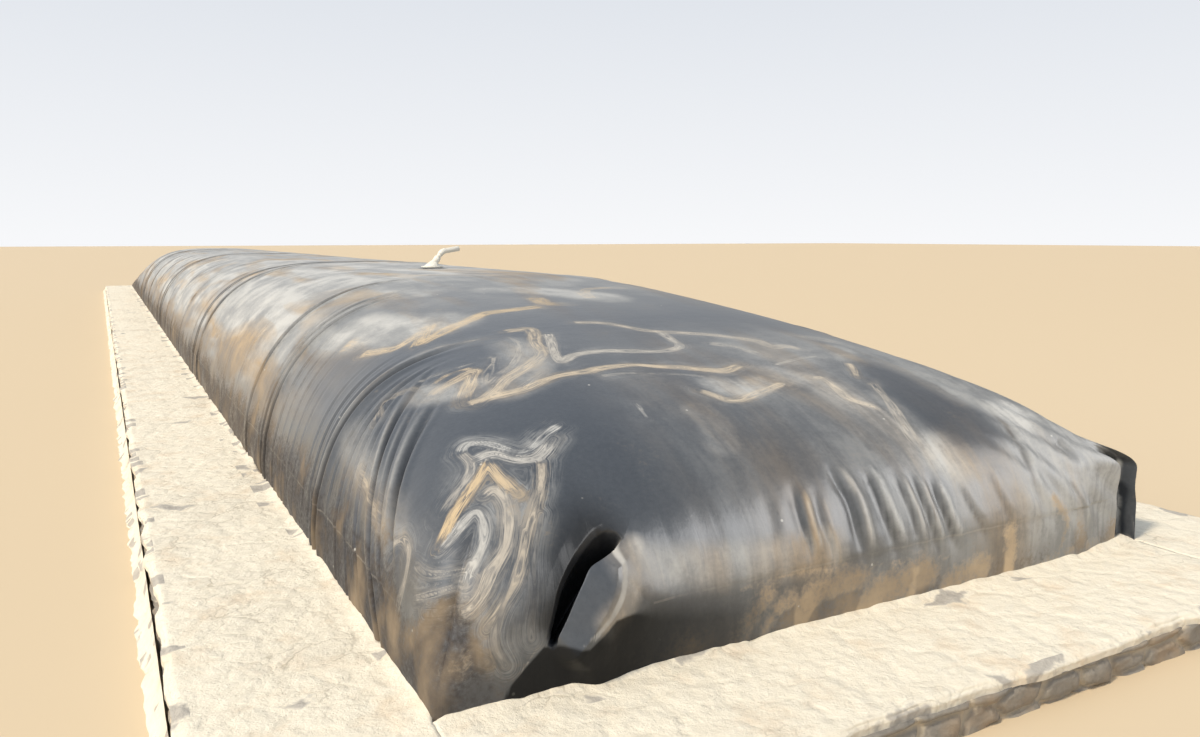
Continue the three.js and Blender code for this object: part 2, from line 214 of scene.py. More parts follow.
def cover_base(q, p):
    """A point of the smooth cover, q along the section from the left and p along the crest."""
    x = HALF_WIDTH * np.sin(np.interp(q, across_arc, angles))
    distance = np.interp(p, along_arc, along_distance)
    along = np.interp(p, along_arc, along_full)
    across = fullness_across(x)
    near = rise_of(across, along, NEAR_END["blend"])
    far = rise_of(across, along, FAR_END["blend"])
    rise = np.where(distance < LENGTH / 2, near, far)
    return np.stack([x, distance - HALF_LENGTH, KERB_TOP + rise], -1)


LEAST_LENGTH = 1e-12
NORMAL_STEP = 0.004


def unit(vectors):
    return vectors / np.maximum(np.linalg.norm(vectors, axis=-1, keepdims=True), LEAST_LENGTH)


def cover_normal(q, p):
    step = NORMAL_STEP
    by_q = cover_base(np.minimum(q + step, GIRTH), p) - cover_base(np.maximum(q - step, 0), p)
    by_p = cover_base(q, np.minimum(p + step, SPAN)) - cover_base(q, np.maximum(p - step, 0))
    return unit(np.cross(by_q, by_p))


# Places traced in the photograph are laid on the cover by a ray from the camera.

forward = np.array(
    [
        math.sin(CAMERA_YAW) * math.cos(CAMERA_PITCH),
        math.cos(CAMERA_YAW) * math.cos(CAMERA_PITCH),
        -math.sin(CAMERA_PITCH),
    ]
)
rightward = np.array([math.cos(CAMERA_YAW), -math.sin(CAMERA_YAW), 0])
upward = np.cross(rightward, forward)


NEAREST = 2
FARTHEST = 45
RAY_STEPS = 2500
HALVINGS = 30


def on_cover(pixels):
    """Points of the smooth cover seen at the given pixels of the photograph."""
    pixels = np.array(pixels, float)
    ray = (
        forward
        + rightward * (pixels[:, :1] - PHOTO_WIDTH / 2) / FOCAL_PIXELS
        + upward * (PHOTO_HEIGHT / 2 - pixels[:, 1:]) / FOCAL_PIXELS
    )
    reach = np.geomspace(NEAREST, FARTHEST, RAY_STEPS)
    track = CAMERA_PLACE + ray[:, None] * reach[None, :, None]
    above = track[..., 2] - KERB_TOP - cover_rise(track[..., 0], track[..., 1])
    hit = np.argmax(above < 0, axis=1)
    low, high = reach[np.maximum(hit - 1, 0)], reach[hit]
    for _ in range(HALVINGS):
        middle = (low + high) / 2
        point = CAMERA_PLACE + ray * middle[:, None]
        below = point[:, 2] - KERB_TOP - cover_rise(point[:, 0], point[:, 1]) < 0
        low, high = np.where(below, low, middle), np.where(below, middle, high)
    return CAMERA_PLACE + ray * high[:, None]


def along_line(points, line):
    """Nearest distance to a line of points, the length along it there, and the vector to the line."""
    best = np.full(points.shape[:-1], np.inf)
    length = np.zeros(points.shape[:-1])
    offset = np.zeros(points.shape)
    done = 0.0
    for start, end in zip(line[:-1], line[1:]):
        piece = end - start
        size = np.linalg.norm(piece)
        share = np.clip(((points - start) @ piece) / size**2, 0, 1)
        gap = points - (start + share[..., None] * piece)
        distance = np.linalg.norm(gap, axis=-1)
        nearer = distance < best
        best = np.where(nearer, distance, best)
        length = np.where(nearer, done + share * size, length)
        offset = np.where(nearer[..., None], gap, offset)
        done += size
    return best, length, offset


# Wrinkles of the sheet. A ring runs across the cover from kerb to kerb where the sheet is gathered.
# Each has its distance from the near end, depth, width, the arc lengths from the kerb where it starts and
# ends, and how high the ridges beside it are.
RINGS = [
    (0.76, 0.014, 0.030, (0.35, 1.15), 0.6),
    (0.90, 0.007, 0.018, (0.2, 1.1), 0.8),
    (1.03, 0.009, 0.022, (0.0, 1.25), 0.7),
    (1.18, 0.005, 0.016, (0.1, 1.1), 0.9),
    (1.28, 0.004, 0.012, (0.0, 1.2), 0.9),
    (1.38, 0.006, 0.016, (0.1, 1.35), 0.8),
    (1.50, 0.004, 0.012, (0.2, 1.3), 0.9),
    (1.66, 0.015, 0.024, (0.0, 1.45), 0.9),
    (1.76, 0.005, 0.014, (0.0, 1.25), 0.9),
    (1.86, 0.005, 0.013, (0.1, 1.2), 0.7),
    (2.00, 0.003, 0.012, (0.1, 1.1), 0.8),
    (2.25, 0.003, 0.014, (0.1, 0.9), 0.7),
    (2.40, 0.003, 0.012, (0.2, 1.0), 0.8),
    (2.55, 0.004, 0.014, (0.0, 1.1), 0.6),
    (2.70, 0.003, 0.012, (0.1, 1.2), 0.8),
    (2.86, 0.005, 0.016, (0.0, 1.25), 0.8),
    (3.09, 0.013, 0.022, (0.0, 1.6), 0.9),
    (3.24, 0.008, 0.018, (0.0, 1.7), 0.9),
    (3.36, 0.005, 0.014, (0.1, 1.5), 0.7),
    (3.83, 0.016, 0.030, (0.0, 2.0), 0.6),
    (4.60, 0.003, 0.020, (0.0, 1.3), 0.5),
    (5.35, 0.003, 0.022, (0.0, 1.1), 0.5),
    (6.40, 0.003, 0.022, (0.2, 1.4), 0.5),
    (7.35, 0.011, 0.045, (0.0, 2.3), 0.9),
    (8.25, 0.005, 0.030, (0.0, 2.0), 0.7),
    (9.70, 0.006, 0.035, (0.0, 1.7), 0.6),
    (11.2, 0.006, 0.040, (0.0, 1.7), 0.6),
    (12.4, 0.006, 0.040, (0.0, 1.9), 0.6),
    (13.5, 0.012, 0.055, (0.0, 2.4), 0.7),
    (14.5, 0.007, 0.050, (0.0, 1.9), 0.6),
    (16.1, 0.007, 0.050, (0.0, 1.9), 0.6),
    (17.6, 0.010, 0.060, (0.0, 2.2), 0.6),
    (19.4, 0.010, 0.060, (0.0, 2.4), 0.6),
    (21.0, 0.009, 0.060, (0.0, 2.0), 0.6),
    (22.8, 0.010, 0.060, (0.0, 2.2), 0.6),
    (24.3, 0.010, 0.060, (0.0, 2.0), 0.6),
]
RING_STRENGTH = 2.3
RING_SWAY = 0.03
RING_LEAN = 0.8
SEAM_DARK = 0.055
DARK_DEPTHS = (0.003, 0.010)


def ring_lift(points, distance, from_kerb):
    """Lift of the rings, and from 0 to 1 how far painted shade darkens a groove, how dark the band along a
    seam is, and how far a shoulder beside a groove is lightened with dust and painted highlight.
    """
    sway = RING_SWAY * grain(points, (9.0, 0.9, 0.5), 3)
    lift = 0
    crease_shade = np.zeros(distance.shape)
    shoulder = np.zeros(distance.shape)
    uneven = np.clip(0.85 + 0.6 * grain(points, (0.35, 0.2, 0.25), 5), 0.3, 1)
    for at, depth, width, (start, end), ridges in RINGS:
        lean = RING_LEAN * (1 - smooth(0.95, 1.6, at)) * np.clip(from_kerb - 0.6, -0.6, 0.6)
        off = distance + sway * min(1.0, at / 3) - at - lean
        strength = smooth(start - 0.15, start + 0.15, from_kerb) * (1 - smooth(end - 0.7, end, from_kerb))
        shoulders = bump(off - 1.9 * width, width) + bump(off + 1.9 * width, width)
        groove = -bump(off, 0.8 * width) + ridges * shoulders / 2
        lift = lift + RING_STRENGTH * depth * strength * groove
        # Painted shade in the groove, and dust with a painted highlight on the shoulders beside it
        dark = strength * uneven * smooth(*DARK_DEPTHS, depth)
        wide = width * (1 + smooth(1.2, 3.0, at))
        crease_shade = np.maximum(crease_shade, dark * bump(off, wide))
        shoulder = np.maximum(shoulder, dark * bump(off - 2.1 * wide, 0.8 * wide))
    for seam in SEAMS:
        crease_shade = np.maximum(crease_shade, 0.9 * uneven * bump(distance + sway - seam, SEAM_DARK))
    return lift, crease_shade, shoulder


# Upright folds on the near face, each traced from top to bottom along its lit side, with depth and width
FACE_FOLDS = [
    ([(775, 492), (781, 515), (785, 545), (787, 570)], 0.003, 0.034),
    ([(801, 482), (811, 522), (818, 543), (821, 568)], 0.013, 0.030),
    ([(819, 488), (829, 522), (837, 542), (843, 568)], 0.008, 0.026),
    ([(833, 455), (845, 477), (858, 499), (866, 525), (875, 564)], 0.019, 0.032),
    ([(853, 455), (874, 474), (883, 491), (892, 511), (902, 537), (907, 564)], 0.015, 0.032),
    ([(896, 466), (913, 499), (922, 525), (928, 556)], 0.012, 0.027),
    ([(912, 466), (930, 503), (939, 528), (947, 556)], 0.013, 0.026),
    ([(932, 470), (950, 511), (960, 536), (966, 552)], 0.013, 0.028),
    ([(955, 468), (974, 502), (987, 522), (996, 545)], 0.007, 0.030),
    ([(985, 460), (1005, 495), (1020, 525)], 0.006, 0.034),
    ([(993, 404), (1022, 443), (1037, 477), (1046, 505)], 0.009, 0.032),
    ([(1040, 426), (1060, 440), (1074, 460), (1080, 478)], 0.007, 0.028),
    ([(1066, 470), (1080, 490), (1088, 508), (1088, 532)], 0.008, 0.026),
]
FOLD_STRENGTH = 1.05
FOLD_WIDTH = 1.15


def signed_off(points, line):
    """How far a place in a plane is to the right of a line that runs down, and how far past its ends."""
    _, length, gap = along_line(points, line)
    total = np.linalg.norm(np.diff(line, axis=0), axis=1).sum()
    run = unit(line[-1] - line[0])
    right = np.array([-run[1], run[0]])
    off = gap @ right
    past = np.linalg.norm(gap - off[..., None] * right, axis=-1)
    return off, past, length / total


def face_folds(points):
    """Upright folds across the middle of the near face, where the sheet is slack between weld and crown:
    the lift, and from 0 to 1 how far a crest is lightened with dust and painted highlight and a valley
    darkened with painted shade."""
    face = 1 - smooth(0.6, 1.0, points[..., 1] + HALF_LENGTH)
    lift, crest, valley = (np.zeros(points.shape[:-1]) for _ in range(3))
    for line, depth, width in face_fold_lines:
        off, past, share = signed_off(points[..., [0, 2]], line)
        fade = face * smooth(0, 0.25, share) * (1 - smooth(0.6, 1, share)) * bump(past, 0.03)
        place = off / (FOLD_WIDTH * width) + 0.7
        lift += FOLD_STRENGTH * depth * fade * place * np.exp(0.7 - place**2)
        marked = fade * smooth(0.002, 0.014, depth)
        crest = np.maximum(crest, marked * bump(off - 0.15 * width, 0.6 * width))
        valley = np.maximum(valley, marked * bump(off + 1.05 * width, 0.4 * width))
    return lift, crest, valley


HIP_SPACING = 0.17
HIP_DEPTH = 0.006


def hip_lift(points):
    """Slanting pulls that run from the near right corner up towards the crown."""
    side, near, height = from_edges(points)
    run = side + 0.9 * height + 0.5 * near
    wave = np.sin(run * 2 * math.pi / HIP_SPACING + 2.5 * grain(points, 0.4, 8))
    window = smooth(2.5, 2.9, side) * smooth(0.08, 0.3, height) * (1 - smooth(0.6, 1.3, near))
    return HIP_DEPTH * wave * window


SWELL_DEPTH = 0.009
CRINKLE_DEPTH = 0.0022
SMALL_CRINKLE_DEPTH = 0.0016


def loose_lift(points, distance, from_kerb):
    """The unevenness of a blown-up sheet: broad swells, and crinkles low on the flanks."""
    swell = SWELL_DEPTH * rough(points, (0.9, 1.6, 0.7), 11, 2)
    low = 1 - smooth(0.3, 0.9, from_kerb)
    crinkle = CRINKLE_DEPTH * grain(points, (0.6, 0.06, 0.5), 12)
    crinkle = crinkle + SMALL_CRINKLE_DEPTH * grain(points, (0.4, 0.03, 0.3), 13)
    face = 1 - smooth(0.1, 0.5, distance)
    face_crinkle = CRINKLE_DEPTH * grain(points, (0.05, 0.5, 0.35), 14)
    fade = smooth(0, 0.12, points[..., 2] - KERB_TOP)
    return swell * fade + crinkle * low * (1 - face) + face_crinkle * face


# The pocket at the near left corner: the sheet dives in behind the crisp edge of a flap, whose far side is a
# ridge. The hollow's side, the edge and the ridge are each traced from top to bottom.
POCKET_HOLLOW = [
    (606, 529), (597, 535), (583, 553), (572, 572), (563, 594), (558, 616), (552, 640),
]
POCKET_EDGE = [
    (617, 538), (613, 548), (602, 557), (588, 567), (581, 583), (573, 601), (565, 620), (555, 640),
]
POCKET_RIDGE = [
    (614, 543), (611, 569), (608, 587), (601, 606), (594, 617), (585, 633), (575, 645),
]
POCKET_DEPTH = 0.135
FLAP_PROUD = 0.055
FLAP_LEAST = 0.05
HOLLOW_LEAST = 0.012
POCKET_ROLL = 0.19
POCKET_DARK = 0.85


def by_pocket(points):
    """How far down the pocket's edge and to its right places lie, how far to the right the edge, the
    hollow's side and the ridge lie there, the edge's length and the unit vector to the right."""
    top, bottom = pocket_edge[0], pocket_edge[-1]
    run = unit(bottom - top)
    right = np.array([-run[1], run[0]])
    down = (points[..., [0, 2]] - top) @ run
    off = (points[..., [0, 2]] - top) @ right
    lines = (pocket_edge, pocket_hollow, pocket_ridge)
    edge, hollow, ridge = (np.interp(down, (line - top) @ run, (line - top) @ right) for line in lines)
    return down, off, edge, hollow, ridge, np.linalg.norm(bottom - top), right


def pocket_shift(points):
    """Shift of the sheet, sideways and outwards, round the pocket's edge on the near face."""
    down, off, edge, hollow, ridge, length, right = by_pocket(points)
    off = off - edge
    hollow = np.minimum(hollow - edge, -HOLLOW_LEAST)
    ridge = np.maximum(ridge - edge, FLAP_LEAST)
    face = 1 - smooth(0.3, 0.6, points[..., 1] + HALF_LENGTH)
    depth = POCKET_DEPTH * face * smooth(-0.02, 0.03, down)
    depth = depth * (1 - smooth(length - 0.02, length + 0.03, down))
    proud = FLAP_PROUD * face * smooth(-0.05, 0.12, down)
    proud = proud * (1 - smooth(length - 0.01, length + 0.05, down))
    open_share = depth / POCKET_DEPTH
    none = 0 * off
    # Each knot: place on the flat sheet, place it moves to, and its lift.
    knots = [
        (hollow - 0.06, hollow - 0.06, none),
        (hollow - 0.02, hollow - 0.02, -0.03 * depth),
        (hollow, hollow + 0.003, -0.15 * depth),
        (0.6 * hollow, 0.5 * hollow, -0.45 * depth),
        (0.3 * hollow, 0.02 + none, -0.78 * depth),
        (0.1 * hollow, 0.065 + none, -depth),
        (none, 0.07 + none, -0.92 * depth),
        (0.010 + none, 0.035 + none, -0.4 * depth),
        (0.018 + none, 0.006 + none, 0.1 * proud),
        (0.023 + none, 0.0 + none, 0.16 * proud),
        (0.028 + none, 0.003 + none, 0.2 * proud),
        (ridge, ridge, proud),
        (ridge + 0.02, ridge + 0.02, 0.97 * proud),
        (ridge + 0.06, ridge + 0.06, 0.84 * proud),
        (ridge + 0.12, ridge + 0.12, 0.58 * proud),
        (ridge + 0.20, ridge + 0.20, 0.29 * proud),
        (ridge + 0.28, ridge + 0.28, 0.10 * proud),
        (ridge + 0.38, ridge + 0.38, none),
    ]
    slide = 0
    lift = 0
    for (here, to_here, lift_a), (there, to_there, lift_b) in zip(knots[:-1], knots[1:]):
        share = (off - here) / (there - here)
        inside = (share >= 0) & (share < 1)
        slide_a, slide_b = to_here - here, to_there - there
        slide = slide + np.where(inside, slide_a + (slide_b - slide_a) * share, 0)
        lift = lift + np.where(inside, lift_a + (lift_b - lift_a) * share, 0)
    return (open_share * slide)[..., None] * np.array([right[0], 0, right[1]]), lift


def pocket_shade(points):
    """How dark the sheet is where it rolls into the pocket, from 0 to 1."""
    down, off, edge, hollow, _, length, _ = by_pocket(points)
    within = smooth(-0.12, 0.05, down) * (1 - smooth(length - 0.02, length + 0.05, down))
    roll = 1 - smooth(0.0, POCKET_ROLL, hollow - off)
    near = points[..., 1] + HALF_LENGTH < 0.5
    return POCKET_DARK * within * roll * near * (off < edge + 0.02)


# The ear at the near right corner. The sheet ends the near face in a crisp edge, dives in behind it and
# comes out again to a standing ridge over the corner. Each place round the corner, told by how much nearer
# it lies to the near end than to the right side, has its distances from the corner: (place, in from the
# right, in from the near end), at the foot and at the height of the ridge's top.
EAR_PLACES = [0.42, 0.24, 0.16, 0.145, 0.10, 0.05, 0.02, 0.0, -0.02, -0.12, -0.30]
EAR_FOOT = [
    (0.42, 0.0),
    (0.24, 0.012),
    (0.137, 0.024),
    (0.128, 0.04),
    (0.105, 0.125),
    (0.035, 0.135),
    (0.010, 0.09),
    (0.002, 0.010),
    (-0.002, 0.03),
    (0.0, 0.13),
    (0.0, 0.30),
]
EAR_TOP = [
    (0.42, 0.06),
    (0.24, 0.046),
    (0.112, 0.042),
    (0.103, 0.058),
    (0.085, 0.15),
    (0.035, 0.16),
    (0.012, 0.11),
    (0.0, 0.03),
    (0.0, 0.05),
    (0.02, 0.16),
    (0.06, 0.34),
]
EAR_HEIGHT = 0.36
EAR_HIGHLIGHT_PLACE = 0.022
EAR_HIGHLIGHT_WIDTH = 0.006


def ear_shift(points):
    """Shift of the sheet to the folded shape of the near right corner."""
    from_right = HALF_WIDTH - points[..., 0]
    from_near = points[..., 1] + HALF_LENGTH
    height = points[..., 2] - KERB_TOP
    place = from_right - from_near
    up = np.clip(height / EAR_HEIGHT, 0, 1)
    knots = EAR_PLACES[::-1]
    goal = 0
    for share, outline in ((1 - up, EAR_FOOT), (up, EAR_TOP)):
        inward = np.interp(place, knots, [right for right, _ in outline[::-1]])
        back = np.interp(place, knots, [near for _, near in outline[::-1]])
        goal = goal + share[..., None] * np.stack([HALF_WIDTH - inward, back - HALF_LENGTH], -1)
    weight = 1 - smooth(EAR_HEIGHT - 0.02, EAR_HEIGHT + 0.13, height)
    weight = weight * smooth(-0.30, -0.16, place) * (1 - smooth(0.26, 0.42, place))
    weight = weight * (1 - smooth(0.45, 0.7, np.maximum(from_right, from_near)))
    shift = np.zeros(points.shape)
    shift[..., :2] = (goal - points[..., :2]) * weight[..., None]
    return shift


def ear_shade_and_highlight(points):
    """How far a place is in the ear's fold, which is kept bare of dust and mud so that it stays dark as
    painted shade, and how near it lies to the painted highlight along the ridge.
    """
    from_right = HALF_WIDTH - points[..., 0]
    from_near = points[..., 1] + HALF_LENGTH
    place = from_right - from_near
    near_corner = 1 - smooth(0.4, 0.6, np.maximum(from_right, from_near))
    low = 1 - smooth(EAR_HEIGHT, EAR_HEIGHT + 0.1, points[..., 2] - KERB_TOP)
    inside = smooth(-0.02, 0.0, place) * (1 - smooth(0.145, 0.155, place)) * near_corner * low
    return inside, bump(place - EAR_HIGHLIGHT_PLACE, EAR_HIGHLIGHT_WIDTH) * near_corner * low


FAR_EAR_REACH = 0.24
FAR_EAR_PUSH = np.array([0.03, 0.025, 0.04])


def far_ears(points):
    """Small ears at the two far corners, finished from the near ones."""
    side = np.sign(points[..., 0])[..., None]
    mirror = np.concatenate([side, 0 * side + 1, 0 * side + 1], -1)
    foot = np.array([HALF_WIDTH, HALF_LENGTH - 0.04, KERB_TOP])
    top = np.array([HALF_WIDTH - 0.12, HALF_LENGTH - 0.3, KERB_TOP + 0.25])
    distance, length, _ = along_line(points * mirror, np.array([foot, top]))
    up = length / np.linalg.norm(top - foot)
    push = (up * np.maximum(0, 1 - distance / FAR_EAR_REACH))[..., None] * FAR_EAR_PUSH
    return push * mirror


CORNER_ROUND = 0.26
CORNER_ROUND_AT_KERB = 0.02
CORNER_ROUND_RISE = 0.26
LEAST_INWARD = 1e-6


def rounded_corner(points):
    """Draws the sheet in at the corners, where it goes round them in a wide curve, but not at the ear."""
    x, y, z = np.moveaxis(points, -1, 0)
    higher = smooth(0.0, CORNER_ROUND_RISE, z - KERB_TOP)
    radius = CORNER_ROUND_AT_KERB + (CORNER_ROUND - CORNER_ROUND_AT_KERB) * higher
    radius = radius * np.where((x > 0) & (y < 0), 0.0, 1.0)
    inward_x = np.maximum(radius - (HALF_WIDTH - np.abs(x)), 0)
    inward_y = np.maximum(radius - (HALF_LENGTH - np.abs(y)), 0)
    drawn = np.maximum(inward_x, inward_y) / np.maximum(np.hypot(inward_x, inward_y), LEAST_INWARD)
    drawn = np.where((inward_x > 0) & (inward_y > 0), drawn, 1)
    result = points.copy()
    result[..., 0] -= np.sign(x) * inward_x * (1 - drawn)
    result[..., 1] -= np.sign(y) * inward_y * (1 - drawn)
    return result


def weld_distance(q, p):
    """How far a place is inside the line where the cover is welded to the skirt."""
    across = np.minimum(q - weld_q, GIRTH - weld_q - q)
    return np.minimum(across, np.minimum(p - weld_p, SPAN - far_weld_p - p))


LIP = 0.004


def weld_lip(q, p):
    """The cover's edge lies over the skirt at the weld, a few millimetres proud."""
    inward = weld_distance(q, p)
    return LIP * smooth(-0.004, 0.004, inward) * (1 - 0.6 * smooth(0.05, 0.12, inward))


FOOT_BURIED = 0.05
OUTLET_MIDDLE = np.array([(a + b) / 2 for a, b in zip(*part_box("outlet_patch"))][:2])
OUTLET_STILL = 0.17


def cover_shape(q, p):
    """The wrinkled cover at arc lengths q and p, as points."""
    points = cover_base(q, p)
    normal = cover_normal(q, p)
    side, distance, _ = from_edges(points)
    from_kerb = np.minimum(q, GIRTH - q)
    lift = ring_lift(points, distance, from_kerb)[0]
    lift = lift + loose_lift(points, distance, from_kerb) + face_folds(points)[0] + hip_lift(points)
    folded = 1 - smooth(0.95, 1.15, side) + smooth(-0.3, -0.2, points[..., 0] - HALF_WIDTH)
    lift = lift + weld_lip(q, p) * (1 - folded * (1 - smooth(0.3, 0.5, distance)))
    slide, pocket = pocket_shift(points)
    from_outlet = np.linalg.norm(points[..., :2] - OUTLET_MIDDLE, axis=-1)
    lift = (lift + pocket) * smooth(OUTLET_STILL, 3 * OUTLET_STILL, from_outlet)
    shift = slide + ear_shift(points) + far_ears(points)
    result = rounded_corner(points) + normal * lift[..., None] + shift
    result[..., 2] -= FOOT_BURIED * (1 - smooth(0, 0.06, points[..., 2] - KERB_TOP))
    return result


# Weld lines between skirt and cover, as arc lengths
HALF = TABLE_STEPS // 2
half_rise = CREST * fullness_across(HALF_WIDTH * np.sin(angles[:HALF]))
weld_q = np.interp(WELD_RISE, half_rise, across_arc[:HALF])
weld_p = np.interp(WELD_RISE, CREST * near_full, arc_at(near_distance))
far_weld_p = SPAN - np.interp(-WELD_RISE, -CREST * far_full[::-1], along_arc[-TABLE_STEPS:])


# Dirt on the sheet. Dust strokes are traced where rain and wind left them, and edge strokes are painted
# highlights laid in the same way:
# points, width in metres, strength and tint, where 0 is grey-white and 1 is tan.
CORNER_STROKES = [
    ([(462, 453), (468, 444), (486, 442), (506, 447), (523, 451), (535, 445), (547, 433), (560, 424)],
      0.022, 1.0, 0.05),
    ([(472, 461), (494, 453), (523, 459), (541, 455), (553, 439)], 0.034, 0.95, 0.15),
    ([(462, 453), (468, 469), (455, 492), (441, 516)], 0.026, 0.7, 0.3),
    ([(486, 461), (468, 490), (451, 520), (437, 547)], 0.028, 1.0, 1.0),
    ([(486, 463), (502, 482), (515, 494)], 0.030, 1.0, 0.9),
    ([(441, 549), (462, 524), (476, 512), (482, 531), (476, 559), (466, 580), (462, 596)], 0.024, 0.85, 0.1),
    ([(482, 496), (494, 488), (506, 510), (502, 543), (490, 573), (478, 604), (458, 620), (421, 618)],
      0.030, 0.8, 0.4),
    ([(541, 461), (533, 506), (521, 547), (513, 584), (500, 616), (492, 631)], 0.024, 0.85, 0.5),
    ([(523, 531), (511, 584), (502, 616), (500, 645), (506, 665)], 0.016, 0.65, 0.4),
    ([(388, 575), (394, 547), (404, 539), (409, 555), (404, 584), (396, 614), (394, 641)], 0.026, 0.65, 0.4),
    ([(415, 565), (433, 573), (458, 578), (468, 567)], 0.024, 0.55, 0.3),
    ([(415, 602), (435, 596), (462, 596), (472, 584)], 0.024, 0.6, 0.3),
    ([(437, 673), (462, 667), (474, 657), (488, 661)], 0.030, 0.8, 0.9),
    ([(539, 514), (531, 563), (533, 604), (535, 639)], 0.010, 0.45, 0.2),
    ([(360, 470), (372, 500), (383, 520)], 0.03, 0.6, 0.6),
]
# Painted highlights along the pocket's bright ridge, the lip below it and short edges beside them
EDGE_HIGHLIGHT_STROKES = [
    ([(621, 541), (622, 570), (617, 592), (607, 609), (594, 626), (584, 638)], 0.014, 0.85, 0.1),
    ([(543, 645), (562, 642), (582, 640)], 0.007, 0.7, 0.1),
    ([(541, 647), (524, 668), (508, 689)], 0.005, 0.5, 0.2),
    ([(640, 616), (652, 630), (662, 642)], 0.004, 0.5, 0.2),
]
CROWN_STROKES = [
    ([(417, 346), (429, 339), (447, 330), (465, 322), (483, 315), (501, 312), (528, 308), (544, 305)],
      0.05, 1.0, 0.9),
    ([(417, 347), (424, 337), (429, 323)], 0.05, 0.8, 0.9),
    ([(358, 355), (376, 352), (394, 348), (406, 342), (424, 328)], 0.045, 0.9, 0.8),
    ([(419, 355), (436, 349), (451, 345), (476, 340), (501, 337), (511, 339), (519, 347), (515, 362),
      (497, 376)], 0.022, 0.6, 0.3),
    ([(497, 376), (486, 383), (492, 364), (497, 356)], 0.022, 0.6, 0.3),
    ([(506, 332), (520, 330), (531, 330), (533, 342), (542, 353), (536, 360), (519, 371), (506, 380),
      (494, 392), (476, 406)], 0.042, 0.85, 0.6),
    ([(417, 383), (440, 374), (461, 367), (483, 361), (495, 358), (492, 369), (486, 383)], 0.020, 0.6, 0.2),
    ([(429, 398), (440, 389), (458, 380), (476, 372), (465, 392), (463, 403)], 0.040, 0.8, 0.7),
    ([(433, 385), (447, 376), (465, 370), (476, 369)], 0.018, 0.8, 0.8),
    ([(377, 421), (379, 408), (388, 399), (408, 390), (426, 386)], 0.030, 0.6, 0.5),
    ([(545, 333), (552, 347), (561, 362), (577, 356), (597, 352), (629, 351), (657, 351), (678, 347),
      (671, 339), (657, 331)], 0.035, 0.9, 0.25),
    ([(465, 406), (488, 399), (519, 392), (542, 383), (563, 376), (590, 371), (600, 369), (629, 365),
      (657, 366), (680, 367), (707, 370), (726, 371), (745, 365)], 0.032, 1.0, 0.65),
    ([(494, 394), (519, 389), (536, 378), (545, 371)], 0.022, 0.5, 0.5),
    ([(583, 292), (590, 297), (586, 290), (599, 288), (620, 288)], 0.05, 0.7, 0.7),
    ([(535, 297), (544, 303), (569, 304)], 0.07, 0.8, 0.9),
    ([(572, 322), (595, 322), (620, 325), (648, 331), (676, 333), (705, 335), (734, 338), (757, 341),
      (772, 347), (786, 346), (805, 351)], 0.040, 0.8, 0.4),
    ([(342, 346), (351, 345), (358, 347)], 0.07, 0.7, 0.9),
    ([(707, 343), (734, 347), (751, 352), (763, 356)], 0.035, 0.7, 0.3),
    ([(600, 375), (638, 374), (676, 374), (707, 377)], 0.016, 0.6, 0.2),
    ([(699, 391), (715, 396), (730, 401), (745, 400), (763, 393), (782, 385), (791, 386)], 0.030, 0.9, 0.6),
    ([(776, 366), (801, 359), (820, 356)], 0.022, 0.6, 0.2),
    ([(810, 378), (824, 380), (835, 389), (849, 398), (868, 405), (883, 412)], 0.030, 0.9, 0.5),
    ([(847, 363), (852, 371), (858, 379)], 0.026, 1.0, 0.6),
    ([(872, 383), (887, 400), (895, 412), (912, 440), (925, 452)], 0.04, 0.65, 0.4),
    ([(791, 335), (830, 341), (856, 347)], 0.07, 0.55, 0.3),
    ([(634, 402), (646, 419)], 0.012, 0.7, 0.1),
]


# Thin wiped veils of dust, traced in the same way but with no tint. The second last, low across the near
# face, is partly dust and partly painted highlight; the last, beside the pocket's ridge, is painted
# highlight
VEIL_AND_HIGHLIGHT_STROKES = [
    ([(420, 555), (436, 600), (445, 660)], 0.15, 0.08),
    ([(480, 470), (505, 500), (505, 560), (495, 640)], 0.13, 0.14),
    ([(350, 440), (370, 490), (392, 530)], 0.10, 0.30),
    ([(367, 292), (394, 291), (420, 293)], 0.25, 0.8),
    ([(492, 289), (545, 291), (600, 296)], 0.22, 0.8),
    ([(350, 330), (395, 330), (425, 325)], 0.25, 0.9),
    ([(420, 395), (450, 392), (475, 385)], 0.08, 0.6),
    ([(510, 345), (530, 365), (500, 390)], 0.10, 0.5),
    ([(722, 385), (745, 389), (764, 381)], 0.10, 0.8),
    ([(770, 372), (820, 385), (850, 402), (890, 425), (925, 455)], 0.13, 0.65),
    ([(840, 350), (870, 380), (900, 410)], 0.12, 0.7),
    ([(700, 412), (714, 424), (722, 445)], 0.10, 0.35),
    ([(945, 455), (1000, 430), (1010, 410)], 0.16, 1.0),
    ([(632, 566), (680, 568), (740, 562), (790, 556), (830, 548)], 0.085, 0.75),
    ([(635, 548), (631, 575), (621, 600), (604, 622)], 0.05, 1.0),
]

# Places where the haze is thinned, traced in the same way; the second darkens the sheet left of the pocket
# as painted shade
HAZE_CUT_STROKES = [
    ([(880, 378), (925, 405), (965, 425)], 0.24, 0.9),
    ([(560, 470), (575, 500), (560, 560)], 0.14, 0.8),
]


